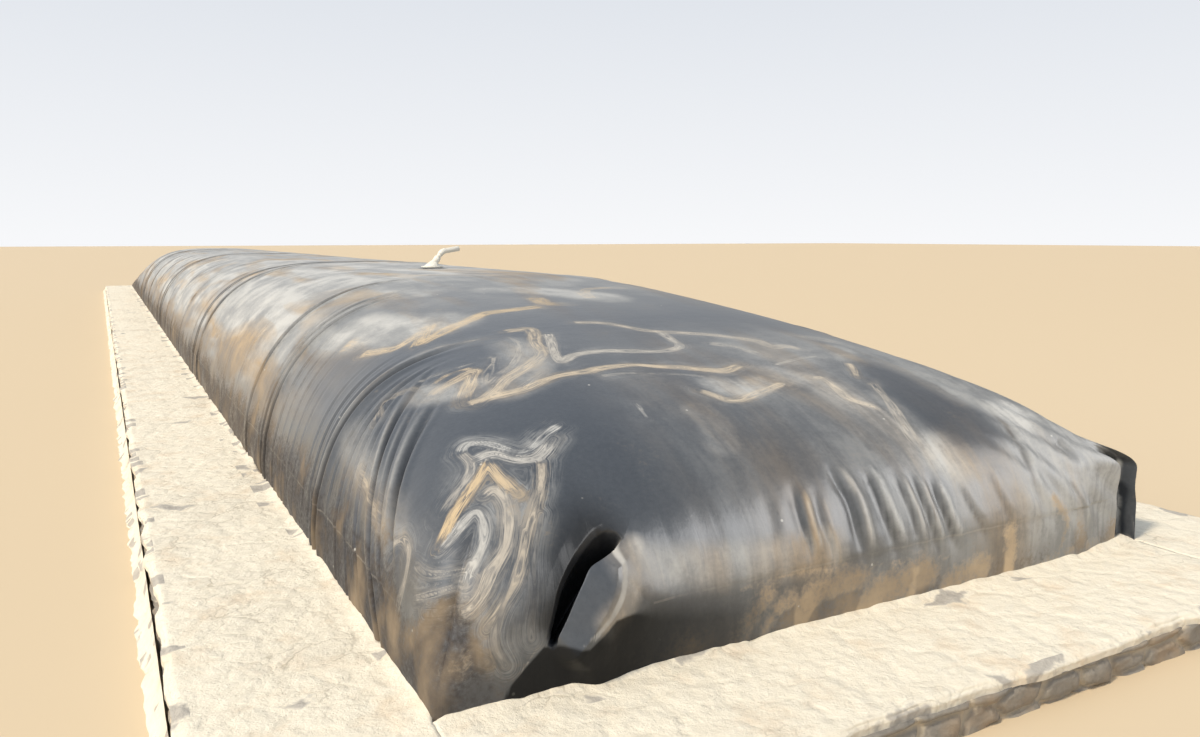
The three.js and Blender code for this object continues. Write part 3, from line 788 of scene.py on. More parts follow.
def eased(line, parts=4):
    """A smooth curve through the traced points of a line."""
    line = np.array(line, float)
    around = np.concatenate([[2 * line[0] - line[1]], line, [2 * line[-1] - line[-2]]])
    share = np.arange(parts)[:, None] / parts
    pieces = []
    for a, b, c, d in zip(around[:-3], around[1:-2], around[2:-1], around[3:]):
        bend = 2 * a - 5 * b + 4 * c - d
        turn = 3 * b - a - 3 * c + d
        pieces.append(b + ((c - a) * share + bend * share**2 + turn * share**3) / 2)
    return np.concatenate(pieces + [line[-1:]])


def traced(strokes):
    """The strokes as smooth curves on the cover, each with its other values."""
    return [(on_cover(eased(pixels)), *values) for pixels, *values in strokes]


def beside(points, line, margin):
    """Which places lie within a margin of the box round a line."""
    return np.all((points > line.min(axis=0) - margin) & (points < line.max(axis=0) + margin), axis=-1)


def lay(amount, tint, close, here, colour):
    """Lays a stroke over the close places where it is stronger than what is there."""
    stronger = here > amount[close]
    tint[close] = np.where(stronger, colour, tint[close])
    amount[close] = np.where(stronger, here, amount[close])


# Each dust stroke also has the strength of the fine lines that run along it.
LINES_ON_CROWN = 0.55
dust_and_highlight_lines = [
    (*stroke, share)
    for strokes, share in ((CORNER_STROKES, 1.0), (CROWN_STROKES, LINES_ON_CROWN), (EDGE_HIGHLIGHT_STROKES, 0.0))
    for stroke in traced(strokes)
]
veil_and_highlight_lines = traced(VEIL_AND_HIGHLIGHT_STROKES)
haze_cut_lines = traced(HAZE_CUT_STROKES)
face_fold_lines = [(line[:, [0, 2]], depth, width) for line, depth, width in traced(FACE_FOLDS)]
pocket_edge, pocket_hollow, pocket_ridge = (
    on_cover(eased(pixels))[:, [0, 2]] for pixels in (POCKET_EDGE, POCKET_HOLLOW, POCKET_RIDGE)
)


STROKE_WARP = 0.018
LINES_REACH = 0.095
LINES_MARGIN = 0.03


def traced_dust_and_highlights(points):
    """Amount and tint of the dust strokes and of the painted highlight strokes, the distance to the nearest
    dust stroke, and the strength of the fine lines that run along it."""
    amount, tint, lined = (np.zeros(points.shape[:-1]) for _ in range(3))
    nearest_stroke = np.full(points.shape[:-1], 2 * LINES_REACH)
    warp = STROKE_WARP * np.stack([grain(points, 0.16, seed) for seed in (21, 22, 23)], -1)
    for line, width, strength, colour, share in dust_and_highlight_lines:
        close = beside(points, line, LINES_REACH + LINES_MARGIN)
        if not close.any():
            continue
        distance, length, _ = along_line(points[close] + warp[close], line)
        total = np.linalg.norm(np.diff(line, axis=0), axis=1).sum()
        ends = smooth(-0.3, 0.8, length / width) * (1 - 0.8 * smooth(-2.0, 0.3, (length - total) / width))
        here = strength * (1 - smooth(0.45, 1.35, distance / width)) * ends
        lay(amount, tint, close, here, colour)
        nearest_stroke[close] = np.minimum(nearest_stroke[close], distance if share else 1.0)
        ring = share * strength * (1 - smooth(0.2 * LINES_REACH, LINES_REACH, distance))
        lined[close] = np.maximum(lined[close], ring * smooth(0.1, 0.2, total))
    return amount, tint, nearest_stroke, lined


# Least haze on the crown, where it is also painted sheen, on the right of the near face and on the left
# flank
CROWN_HAZE_AND_SHEEN = 0.73
RIGHT_HAZE = 0.3
FLANK_HAZE = 0.35


def haze_and_sheen_of(points):
    """Thin dust that dulls the sheet: past the near end's shoulder, and on the right of the near face. On
    the crown it is also painted sheen, stronger higher up; some veils are painted highlights, and a thinned
    place is painted shade.
    """
    side, distance, height = from_edges(points)
    patchy = 0.5 + 0.5 * rough(points, (0.8, 1.1, 0.5), 31, 3)
    # Painted sheen as well as dust: the crown's haze grows higher up, where the sky is reflected
    crown = smooth(1.4, 4.5, distance) * (CROWN_HAZE_AND_SHEEN + 0.45 * patchy)
    crown = crown * (0.45 + 0.55 * smooth(0.15, 0.7, height))
    right = smooth(1.95, 2.8, side) * (1 - smooth(0.6, 1.8, distance)) * (RIGHT_HAZE + 0.6 * patchy)
    flank = (1 - smooth(0.45, 0.95, height)) * (1 - smooth(0.25, 0.8, side)) * (FLANK_HAZE + 0.5 * patchy)
    flank = flank * (0.35 + 0.65 * smooth(0.2, 0.6, height))
    film = (0.2 * smooth(0.8, 1.3, side) + 0.25 * smooth(1.5, 2.2, side)) * (1 - smooth(1.0, 2.0, distance))
    haze = np.maximum(np.maximum(crown, right), flank * smooth(1.4, 4.0, distance))
    haze = np.maximum(haze, film)
    for line, width, strength in veil_and_highlight_lines:
        close = beside(points, line, 2.5 * width)
        if close.any():
            distance, _, _ = along_line(points[close], line)
            here = strength * (1 - smooth(0.3, 1.5, distance / width - 0.6 * (patchy[close] - 0.5)))
            haze[close] = np.maximum(haze[close], here)
    for line, width, strength in haze_cut_lines:
        distance, _, _ = along_line(points, line)
        haze = haze * (1 - strength * (1 - smooth(0.4, 1.3, distance / width - 0.4 * (patchy - 0.5))))
    return np.clip(haze, 0, 1)


# Mud that rain splashed up from the kerb and that dried: points, width, strength and tint, where 0 is dark
# brown and 1 is tan
MUD_STROKES = [
    ([(728, 652), (742, 628), (758, 610), (766, 596)], 0.06, 0.8, 0.75),
    ([(762, 634), (776, 610), (790, 600)], 0.05, 0.6, 0.7),
    ([(800, 618), (815, 596), (835, 585), (858, 578)], 0.06, 0.8, 0.65),
    ([(860, 612), (880, 592), (905, 582), (930, 574)], 0.07, 0.85, 0.7),
    ([(905, 606), (912, 585), (916, 572)], 0.03, 0.9, 0.9),
    ([(940, 600), (950, 580), (985, 566)], 0.06, 0.8, 0.75),
    ([(1008, 572), (1012, 545), (1011, 533)], 0.045, 1.0, 1.0),
    ([(1035, 566), (1070, 552), (1100, 545)], 0.06, 0.7, 0.7),
    ([(1060, 548), (1066, 520), (1052, 498)], 0.03, 0.7, 0.8),
    ([(740, 590), (770, 580), (800, 572), (850, 567), (950, 557)], 0.012, 0.4, 0.9),
]
mud_lines = traced(MUD_STROKES)


# Top of the skirt's painted shade on the near face, from the kerb up round the pocket and along the weld
SKIRT_SHADE_TOP = [
    (498, 699), (507, 690), (526, 667), (544, 647), (562, 646), (583, 644), (598, 630), (610, 617),
    (626, 612), (650, 608), (700, 606), (760, 598), (860, 590),
]
skirt_shade_top = on_cover(SKIRT_SHADE_TOP)[:, [0, 2]]


SPLASH_HEIGHT = 0.22
SKIRT_SHADE_MUD_CUT = 0.75
SKIRT_SHADE_DARKER_MUD = 0.5


def mud_of(points):
    """Amount and tint of the dried mud, in traced patches on the near face and splashed round the foot, and
    how far a place is in the painted shade on the skirt, where the mud is thinner and darker."""
    side, distance, height = from_edges(points)
    ragged = rough(points, (0.10, 0.16, 0.25), 41, 3)
    left = 1 - smooth(0.0, 0.25, side)
    near = 1 - smooth(0.0, 0.3, distance)
    flank = 1 - smooth(0.0, 0.35, np.minimum(side, 2 * HALF_WIDTH - side))
    flank = flank * smooth(0.15, 0.6, distance)
    top = SPLASH_HEIGHT + 0.07 * ragged + 0.38 * left * near + 0.36 * flank
    splashed = 1 - smooth(top - SPLASH_HEIGHT - 0.2 * flank, top, height)
    amount = splashed * np.clip(0.7 + 0.25 * ragged, 0, 1)
    tint = np.clip(0.30 + 0.35 * ragged - 0.25 * left, 0, 1)
    for line, width, strength, colour in mud_lines:
        close = beside(points, line, 3 * width)
        if not close.any():
            continue
        distance, _, _ = along_line(points[close], line)
        here = strength * (1 - smooth(0.0, 1.9, distance / width - 0.6 * ragged[close]))
        lay(amount, tint, close, here, colour)
    # Painted shade below the skirt's top: soft where the sheet rolls under, crisp by the pocket
    over = points[..., 2] - np.interp(points[..., 0], skirt_shade_top[:, 0], skirt_shade_top[:, 1], left=0)
    soft = 0.006 + 0.05 * smooth(0.0, 0.15, points[..., 0] - pocket_ridge[:, 0].max())
    skirt = near * (1 - smooth(-1, 1, over / soft)) * (1 - smooth(0.95, 1.35, side + 0.1 * ragged))
    skirt = skirt * (1 - 0.3 * smooth(0.6, 1.0, side))
    amount = amount * (1 - SKIRT_SHADE_MUD_CUT * skirt)
    tint = tint * (1 - SKIRT_SHADE_DARKER_MUD * skirt)
    return np.clip(amount, 0, 1), tint, skirt


# Grids of the sheet: arc lengths q across and p along, closest together where the photograph shows most


def spaced(start, end, spacing):
    return np.linspace(start, end, max(2, int(round((end - start) / spacing)) + 1))


def joined(*runs):
    return np.concatenate([runs[0]] + [run[1:] for run in runs[1:]])


DRAFT = 1.0
LEFT_SPACING = 0.014 * DRAFT
RIGHT_SPACING = 0.017 * DRAFT
FACE_SPACING = 0.012 * DRAFT
RISE_SPACING = 0.014 * DRAFT
RUN_SPACING = 0.024 * DRAFT
PANEL_SPACING = 0.03 * DRAFT
FAR_SPACING = 0.04 * DRAFT
FAR_COLUMN_SPACING = 0.045 * DRAFT
# The near end's three pieces meet at these arc lengths along the crest.
FACE_TOP = 1.75
RISE_END = 5.2

right_weld_q = GIRTH - weld_q
skirt_columns = spaced(0, weld_q, LEFT_SPACING)
near_columns = joined(
    spaced(weld_q, GIRTH / 2, LEFT_SPACING),
    spaced(GIRTH / 2, right_weld_q, RIGHT_SPACING),
)
far_columns = spaced(weld_q, right_weld_q, FAR_COLUMN_SPACING)
all_near_columns = joined(skirt_columns, near_columns, GIRTH - skirt_columns[::-1])
all_far_columns = joined(skirt_columns, far_columns, GIRTH - skirt_columns[::-1])

ends = [arc_at(seam) for seam in SEAMS]
face_rows = spaced(weld_p, FACE_TOP, FACE_SPACING)
rise_rows = spaced(FACE_TOP, RISE_END, RISE_SPACING)
run_rows = spaced(RISE_END, ends[0], RUN_SPACING)
panel_rows = [spaced(a, b, PANEL_SPACING) for a, b in zip(ends[:-1], ends[1:])]
far_rows = spaced(ends[-1], SPAN - far_weld_p, FAR_SPACING)
skirt_rows = spaced(0, weld_p, FACE_SPACING)
far_skirt_rows = spaced(SPAN - far_weld_p, SPAN, PANEL_SPACING)


class Window:
    """A part of the sheet on lines of the near grids, which a finer piece fills."""

    def __init__(self, low_q, high_q, low_p, high_p):
        self.low_q, self.high_q = nearest(all_near_columns, low_q), nearest(all_near_columns, high_q)
        self.low_p, self.high_p = nearest(all_near_rows, low_p), nearest(all_near_rows, high_p)

    def covers(self, q, p):
        return self.low_q <= q < self.high_q and self.low_p <= p < self.high_p

    def finer(self, values, low, high, parts):
        inside = values[(values >= low) & (values <= high)]
        return joined(*[np.linspace(a, b, parts + 1) for a, b in zip(inside[:-1], inside[1:])])

    def grids(self, parts):
        return (
            self.finer(all_near_columns, self.low_q, self.high_q, parts),
            self.finer(all_near_rows, self.low_p, self.high_p, parts),
        )


def nearest(values, value):
    return values[np.argmin(np.abs(values - value))]


def girth_at(side):
    """Arc length across at a distance from the pit's left edge."""
    return np.interp(side - HALF_WIDTH, HALF_WIDTH * np.sin(angles), across_arc)


all_near_rows = joined(skirt_rows, face_rows)
# The windows' distances from the left and the right side, and arc lengths from the near end
PLEAT_FROM_LEFT = (0.17, 0.98)
PLEAT_ALONG = (0.05, 0.62)
EAR_FROM_RIGHT = 0.48
EAR_ALONG = (0.0, 0.80)
pleat_window = Window(*girth_at(np.array(PLEAT_FROM_LEFT)), *PLEAT_ALONG)
ear_window = Window(girth_at(2 * HALF_WIDTH - EAR_FROM_RIGHT), GIRTH, *EAR_ALONG)
WINDOWS = [pleat_window, ear_window]


def beyond(values):
    """The same values with one more at each end, so that normals are true on the border too."""
    return np.concatenate([[2 * values[0] - values[1]], values, [2 * values[-1] - values[-2]]])


def mesh_from(name, bm):
    mesh = bpy.data.meshes.new(name)
    bm.to_mesh(mesh)
    bm.free()
    return mesh


def grid_mesh(name, q, p, points, holes=()):
    """A grid of faces through points, with windows cut out, and the column and row of each vertex."""
    columns, rows = len(q), len(p)
    bm = bmesh.new()
    bmesh.ops.create_grid(bm, x_segments=columns - 1, y_segments=rows - 1, size=0.5)
    if holes:
        cut = []
        for face in bm.faces:
            middle = face.calc_center_median()
            here_q = q[int((middle.x + 0.5) * (columns - 1))]
            here_p = p[int((middle.y + 0.5) * (rows - 1))]
            if any(hole.covers(here_q, here_p) for hole in holes):
                cut.append(face)
        bmesh.ops.delete(bm, geom=cut, context="FACES")
    mesh = mesh_from(name, bm)
    flat = np.empty(3 * len(mesh.vertices))
    mesh.vertices.foreach_get("co", flat)
    i = np.rint((flat[0::3] + 0.5) * (columns - 1)).astype(int)
    j = np.rint((flat[1::3] + 0.5) * (rows - 1)).astype(int)
    mesh.vertices.foreach_set("co", points[i, j].ravel())
    return mesh, i, j


def place_object(name, data):
    """A new object in the scene, for a mesh, a light or the camera."""
    made = bpy.data.objects.new(name, data)
    bpy.context.scene.collection.objects.link(made)
    return made


def add_object(name, mesh, material):
    mesh.materials.append(material)
    return place_object(name, mesh)


def add_piece(name, mesh, material, nodes):
    """A piece on the plant's one body, in the place of CAD nodes."""
    piece = add_object(name, mesh, material)
    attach(piece, "root")
    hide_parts(*nodes)
    return piece


def set_number(mesh, name, values):
    data = mesh.attributes.new(name, "FLOAT", "POINT").data
    data.foreach_set("value", values.astype(np.float32).ravel())


def set_vector(mesh, name, values):
    data = mesh.attributes.new(name, "FLOAT_VECTOR", "POINT").data
    data.foreach_set("vector", values.astype(np.float32).ravel())


# Painted shade darkens fold valleys and thins their haze; fold crests and ring shoulders get dust and a
# painted highlight
VALLEY_SHADE = 0.5
VALLEY_SHADE_HAZE_CUT = 0.5
CREST_DUST_AND_HIGHLIGHT = 0.5
SHOULDER_HAZE_AND_HIGHLIGHT = 0.6


def mark_sheet(mesh, q, p):
    """Tells the material how soiled each vertex is and where shade and highlights are painted, by its place
    on the smooth cover.
    """
    place = cover_base(q, p)
    distance = place[:, 1] + HALF_LENGTH
    dust, tint, from_stroke, lined = traced_dust_and_highlights(place)
    mud, mud_tint, skirt = mud_of(place)
    ear_fold_shade, ridge = ear_shade_and_highlight(place)
    _, crease_shade, shoulder = ring_lift(place, distance, np.minimum(q, GIRTH - q))
    _, crest, valley = face_folds(place)
    # Painted shade from the ring grooves, fold valleys, pocket and skirt; crests and shoulders get dust and
    # painted highlight, and the ear's fold is left bare as painted shade
    crease_shade = np.max([crease_shade, skirt, VALLEY_SHADE * valley, pocket_shade(place)], axis=0)
    haze = np.max([haze_and_sheen_of(place), crest, SHOULDER_HAZE_AND_HIGHLIGHT * shoulder], axis=0) * (1 - VALLEY_SHADE_HAZE_CUT * valley)
    dirt_and_painted_light = np.stack([np.maximum(dust, CREST_DUST_AND_HIGHLIGHT * crest), haze, mud], -1) * (1 - ear_fold_shade)[:, None]
    # A painted highlight along the ear's ridge, laid as pale dust
    dirt_and_painted_light[:, 0] = np.maximum(dirt_and_painted_light[:, 0], ridge)
    # The weld's line of dust stops at the pocket and at the ear.
    at_pocket = (place[:, 0] < pocket_ridge[:, 0].max() + 0.1) & (distance < 0.3)
    no_line = at_pocket | ((place[:, 0] > HALF_WIDTH - 0.2) & (distance < 0.45))
    set_vector(mesh, "sheet", np.stack([q, p, crease_shade], -1))
    set_vector(mesh, "stroke", np.stack([from_stroke, lined, tint], -1))
    set_vector(mesh, "dirt_and_painted_light", dirt_and_painted_light)
    set_vector(mesh, "marks", np.stack([mud_tint, weld_distance(q, p) + no_line, 0 * p], -1))


def add_sheet(name, q, p, nodes, holes=(), raised=0.0, stitch=0):
    """One piece of the cover or skirt, on arc lengths q and p. It may be raised off the others, and a fine
    piece is stitched: its border keeps to the straight edges of the coarser faces beside it."""
    wide_q, wide_p = np.meshgrid(beyond(q), beyond(p), indexing="ij")
    points = cover_shape(np.clip(wide_q, 0, GIRTH), np.clip(wide_p, 0, SPAN))
    normals = unit(np.cross(points[2:, 1:-1] - points[:-2, 1:-1], points[1:-1, 2:] - points[1:-1, :-2]))
    points = points[1:-1, 1:-1] + normals * raised
    if stitch:
        for side in (points[0], points[-1], points[:, 0], points[:, -1]):
            for n in range(len(side)):
                if n % stitch:
                    low = n - n % stitch
                    side[n] = side[low] + (side[low + stitch] - side[low]) * (n % stitch) / stitch
    mesh, i, j = grid_mesh(name, q, p, points, holes)
    mark_sheet(mesh, q[i], p[j])
    mesh.update()
    mesh.shade_smooth()
    mesh.normals_split_custom_set_from_vertices(normals[i, j])
    piece = add_piece(name, mesh, sheet_material, nodes)


# Materials


def linear(colour):
    """An sRGB hex colour as linear values with alpha."""
    values = [int(colour[n : n + 2], 16) / 255 for n in (1, 3, 5)]
    return [v / 12.92 if v <= 0.04045 else ((v + 0.055) / 1.055) ** 2.4 for v in values] + [1]


def new_material(name, colour, roughness):
    material = bpy.data.materials.new(name)
    material.use_nodes = True
    material.diffuse_color = linear(colour)
    shader = material.node_tree.nodes["Principled BSDF"]
    shader.inputs["Base Color"].default_value = linear(colour)
    shader.inputs["Roughness"].default_value = roughness
    return material, shader


# Settings of nodes: a Mix of colours with its third output, a product, a product with a third input added,
# and an easy curve
COLOUR = {"output": 2, "data_type": "RGBA"}
TIMES = {"operation": "MULTIPLY"}
TIMES_PLUS = {"operation": "MULTIPLY_ADD"}
EASED = {"interpolation_type": "SMOOTHSTEP"}


def add(material, kind, inputs=None, output=0, **settings):
    """Adds a shader node with its settings, sets or links its inputs, of which a string is a hex colour, and
    gives back an output, or all of them."""
    made = material.node_tree.nodes.new("ShaderNode" + kind)
    for key, value in settings.items():
        setattr(made, key, value)
    for key, value in (inputs or {}).items():
        if isinstance(value, bpy.types.NodeSocket):
            material.node_tree.links.new(value, made.inputs[key])
        else:
            made.inputs[key].default_value = linear(value) if isinstance(value, str) else value
    return made.outputs if output is None else made.outputs[output]


def link(material, source, shader, name):
    material.node_tree.links.new(source, shader.inputs[name])


# How far the dirt, with the painted highlights and sheen laid as dirt, hides the sheet at its thickest, and
# how dark the painted shade is
VEIL_AND_SHEEN_COVERS = 0.8
DUST_AND_HIGHLIGHT_COVERS = 0.72
MUD_COVERS = 0.88
PAINTED_SHADE_DARK = 0.88


def polyethylene_sheet(name):
    """Black polyethylene sheet, extruded and welded: a satin black that shows the pale sky as a soft
    blue-grey sheen. Dust lies on it in wiped veils and in streaks where water ran, with mud low down.
    Shade is painted near black into grooves, valleys, the pocket and the skirt, and highlights and sheen are
    painted in with the dust."""
    m, shader = new_material(name, "#202327", 0.3)
    shader.inputs["IOR"].default_value = 1.52
    place = add(m, "TexCoord", output="Object")
    sheet, stroke, dirt_and_painted_light, marks = (
        add(m, "Attribute", output="Vector", attribute_name=each)
        for each in ("sheet", "stroke", "dirt_and_painted_light", "marks")
    )
    from_stroke, lined, tint = add(m, "SeparateXYZ", {"Vector": stroke}, None)
    # The dust channel also carries painted highlights, and the haze channel painted sheen and highlights
    dust, haze, mud = add(m, "SeparateXYZ", {"Vector": dirt_and_painted_light}, None)
    mud_tint, from_weld, _ = add(m, "SeparateXYZ", {"Vector": marks}, None)
    across_sheet, along_sheet, crease_shade = add(m, "SeparateXYZ", {"Vector": sheet}, None)

    clouds = add(m, "TexNoise", {"Vector": place, "Scale": 4.0, "Detail": 8.0, "Roughness": 0.6})
    warm_place = add(m, "Mapping", {"Vector": sheet, "Scale": (2.6, 0.55, 1.0)})
    warmth = add(m, "TexNoise", {"Vector": warm_place, "Scale": 1.0, "Detail": 5.0, "Distortion": 0.6})
    fine = add(m, "TexNoise", {"Vector": place, "Scale": 55.0, "Detail": 7.0, "Roughness": 0.65})

    # Wiped marks are 0.1 m wide and half a metre long round the flanks, and 40 mm wide down the face.
    round_place = add(m, "Mapping", {"Vector": sheet, "Scale": (1.8, 10.0, 1.0)})
    upright_place = add(m, "Mapping", {"Vector": sheet, "Scale": (25.0, 4.0, 1.0)})
    wiped = add(m, "TexNoise", {"Vector": round_place, "Scale": 1.0, "Detail": 6.0, "Distortion": 0.4})
    runs = add(m, "TexNoise", {"Vector": upright_place, "Scale": 1.0, "Detail": 6.0, "Distortion": 0.6})
    # Dust lies in patches a metre long and a quarter of that wide, along the length of the cover.
    lying_place = add(m, "Mapping", {"Vector": sheet, "Scale": (3.6, 1.0, 1.0)})
    lying = add(m, "TexNoise", {"Vector": lying_place, "Scale": 1.0, "Detail": 7.0, "Distortion": 0.9})
    past_face = add(m, "MapRange", {"Value": along_sheet, "From Min": 1.0, "From Max": 1.6})
    brushed = add(m, "Mix", {0: past_face, 2: runs, 3: wiped})

    # Lines along a traced stroke are about 5 mm wide and 0.1 m long.
    far_off = add(m, "Math", {0: from_stroke, 1: 210.0}, **TIMES)
    far_across = add(m, "Math", {0: across_sheet, 1: 9.0}, **TIMES)
    far_along = add(m, "Math", {0: along_sheet, 1: 9.0}, **TIMES)
    streak_place = add(m, "CombineXYZ", {"X": far_off, "Y": far_across, "Z": far_along})
    streaks = add(m, "TexNoise", {"Vector": streak_place, "Scale": 1.0, "Detail": 4.0, "Distortion": 0.7})
    streaked = add(m, "Math", {0: streaks, 1: 2.6, 2: -0.45}, **TIMES_PLUS)
    laid = add(m, "Math", {0: streaked, 1: dust}, **TIMES)
    stroked = add(m, "MapRange", {"Value": laid, "From Min": 0.15, "From Max": 1.15}, **EASED)
    uneven = add(m, "Math", {0: clouds, 1: 1.5, 2: streaks}, **TIMES_PLUS)
    fine_lines = add(m, "MapRange", {"Value": uneven, "From Min": 1.12, "From Max": 1.5, "To Max": 0.6})
    drawn = add(m, "Math", {0: fine_lines, 1: lined}, **TIMES)
    dust_and_highlight_marks = add(m, "Math", {0: stroked, 1: drawn}, operation="MAXIMUM")

    wiped_share = add(m, "MapRange", {"Value": past_face, "To Min": 0.7, "To Max": 0.75})
    patches = add(m, "Mix", {0: past_face, 2: runs, 3: lying})
    spread = add(m, "Mix", {0: wiped_share, 2: clouds, 3: patches})
    mottled = add(m, "Math", {0: spread, 1: 1.4, 2: clouds}, **TIMES_PLUS)
    gritty = add(m, "Math", {0: fine, 1: 0.5, 2: mottled}, **TIMES_PLUS)
    thickness = add(
        m, "MapRange", {"Value": gritty, "From Min": 1.15, "From Max": 1.75, "To Min": 0.48}, **EASED,
    )
    haze_and_sheen_amount = add(m, "Math", {0: haze, 1: thickness}, **TIMES)

    grey_dust_and_highlight = add(m, "Mix", {0: tint, 6: "#c4c3be", 7: "#d2b88f"}, **COLOUR)
    low = add(m, "SeparateXYZ", {"Vector": place}, "Z")
    lower = add(
        m, "MapRange", {"Value": low, "From Min": 0.3, "From Max": 1.0, "To Min": 0.24, "To Max": 0.0},
    )
    long_flank = add(m, "MapRange", {"Value": past_face, "To Min": 0.1})
    lower_there = add(m, "Math", {0: lower, 1: long_flank}, **TIMES)
    warmer = add(m, "Math", {0: warmth, 1: lower_there})
    warm_share = add(m, "MapRange", {"Value": warmer, "From Min": 0.5, "From Max": 0.7})
    veil_and_sheen_colour = add(m, "Mix", {0: warm_share, 6: "#c9c7c1", 7: "#bba27e"}, **COLOUR)
    bare = add(m, "Mix", {0: fine, 6: "#323539", 7: "#4b4e52"}, **COLOUR)
    veil_and_sheen_share = add(m, "Math", {0: haze_and_sheen_amount, 1: VEIL_AND_SHEEN_COVERS}, **TIMES)
    veiled_and_sheened = add(m, "Mix", {0: veil_and_sheen_share, 6: bare, 7: veil_and_sheen_colour}, **COLOUR)
    dust_and_highlight_share = add(m, "Math", {0: dust_and_highlight_marks, 1: DUST_AND_HIGHLIGHT_COVERS}, **TIMES)
    dusted_and_highlit = add(m, "Mix", {0: dust_and_highlight_share, 6: veiled_and_sheened, 7: grey_dust_and_highlight}, **COLOUR)

    crumbs = add(m, "Math", {0: fine, 1: 1.1, 2: mud}, **TIMES_PLUS)
    flaked = add(m, "Math", {0: clouds, 1: 1.2, 2: crumbs}, **TIMES_PLUS)
    caked = add(m, "MapRange", {"Value": flaked, "From Min": 1.3, "From Max": 2.05}, **EASED)
    mud_shade = add(m, "Math", {0: clouds, 1: 1.1, 2: mud_tint}, **TIMES_PLUS)
    mud_share = add(m, "MapRange", {"Value": mud_shade, "From Min": 0.62, "From Max": 1.6})
    mud_colour = add(m, "Mix", {0: mud_share, 6: "#2f2721", 7: "#c3aa86"}, **COLOUR)
    caked_share = add(m, "Math", {0: caked, 1: MUD_COVERS}, **TIMES)
    muddy = add(m, "Mix", {0: caked_share, 6: dusted_and_highlit, 7: mud_colour}, **COLOUR)

    # Dust stands in a line 8 mm wide along the weld's edge.
    off_weld = add(m, "Math", {0: from_weld, 1: 0.0, 2: 0.004}, operation="COMPARE")
    weld_dust = add(m, "MapRange", {"Value": clouds, "From Min": 0.4, "From Max": 0.65, "To Max": 0.35})
    weld_share = add(m, "Math", {0: off_weld, 1: weld_dust}, **TIMES)
    welded = add(m, "Mix", {0: weld_share, 6: muddy, 7: "#a39d92"}, **COLOUR)
    # Splashes that dried to pale specks about 10 mm across, about one in each 0.2 m
    speck_cells = add(m, "TexVoronoi", {"Vector": place, "Scale": 8.0}, None)
    from_speck = speck_cells["Distance"]
    chosen = add(m, "SeparateColor", {"Color": speck_cells["Color"]}, "Red")
    picked = add(m, "Math", {0: chosen, 1: 0.45}, operation="LESS_THAN")
    speck = add(
        m, "MapRange",
        {"Value": from_speck, "From Min": 0.025, "From Max": 0.055, "To Min": 0.65, "To Max": 0.0},
    )
    specks = add(m, "Math", {0: speck, 1: picked}, **TIMES)
    specked = add(m, "Mix", {0: specks, 6: welded, 7: "#c9c6bd"}, **COLOUR)
    # Painted shade: grooves, fold valleys, the pocket's roll and the skirt's dark part go towards near
    # black, and so do the bands along the seams
    groove = add(m, "Math", {0: crease_shade, 1: PAINTED_SHADE_DARK}, **TIMES)
    shade_painted = add(m, "Mix", {0: groove, 6: specked, 7: "#161514"}, **COLOUR)
    link(m, shade_painted, shader, "Base Color")

    thick = add(m, "Math", {0: dust_and_highlight_marks, 1: veil_and_sheen_share}, operation="MAXIMUM")
    soiled = add(m, "Math", {0: thick, 1: caked}, operation="MAXIMUM")
    roughness = add(m, "MapRange", {"Value": soiled, "To Min": 0.29, "To Max": 0.85})
    link(m, roughness, shader, "Roughness")
    # Where shade is painted the sheet hardly shines either, as a pinched groove sees no sky.
    shine = add(m, "MapRange", {"Value": crease_shade, "To Min": 0.75, "To Max": 0.12})
    link(m, shine, shader, "Specular IOR Level")
    dents = add(m, "TexNoise", {"Vector": place, "Scale": 11.0, "Detail": 5.0})
    dented = add(m, "Bump", {"Height": dents, "Distance": 0.006, "Strength": 0.25})
    creased = add(m, "Bump", {"Height": brushed, "Distance": 0.004, "Strength": 0.3, "Normal": dented})
    scuffed = add(m, "Bump", {"Height": fine, "Distance": 0.0012, "Strength": 0.35, "Normal": creased})
    link(m, scuffed, shader, "Normal")
    return m


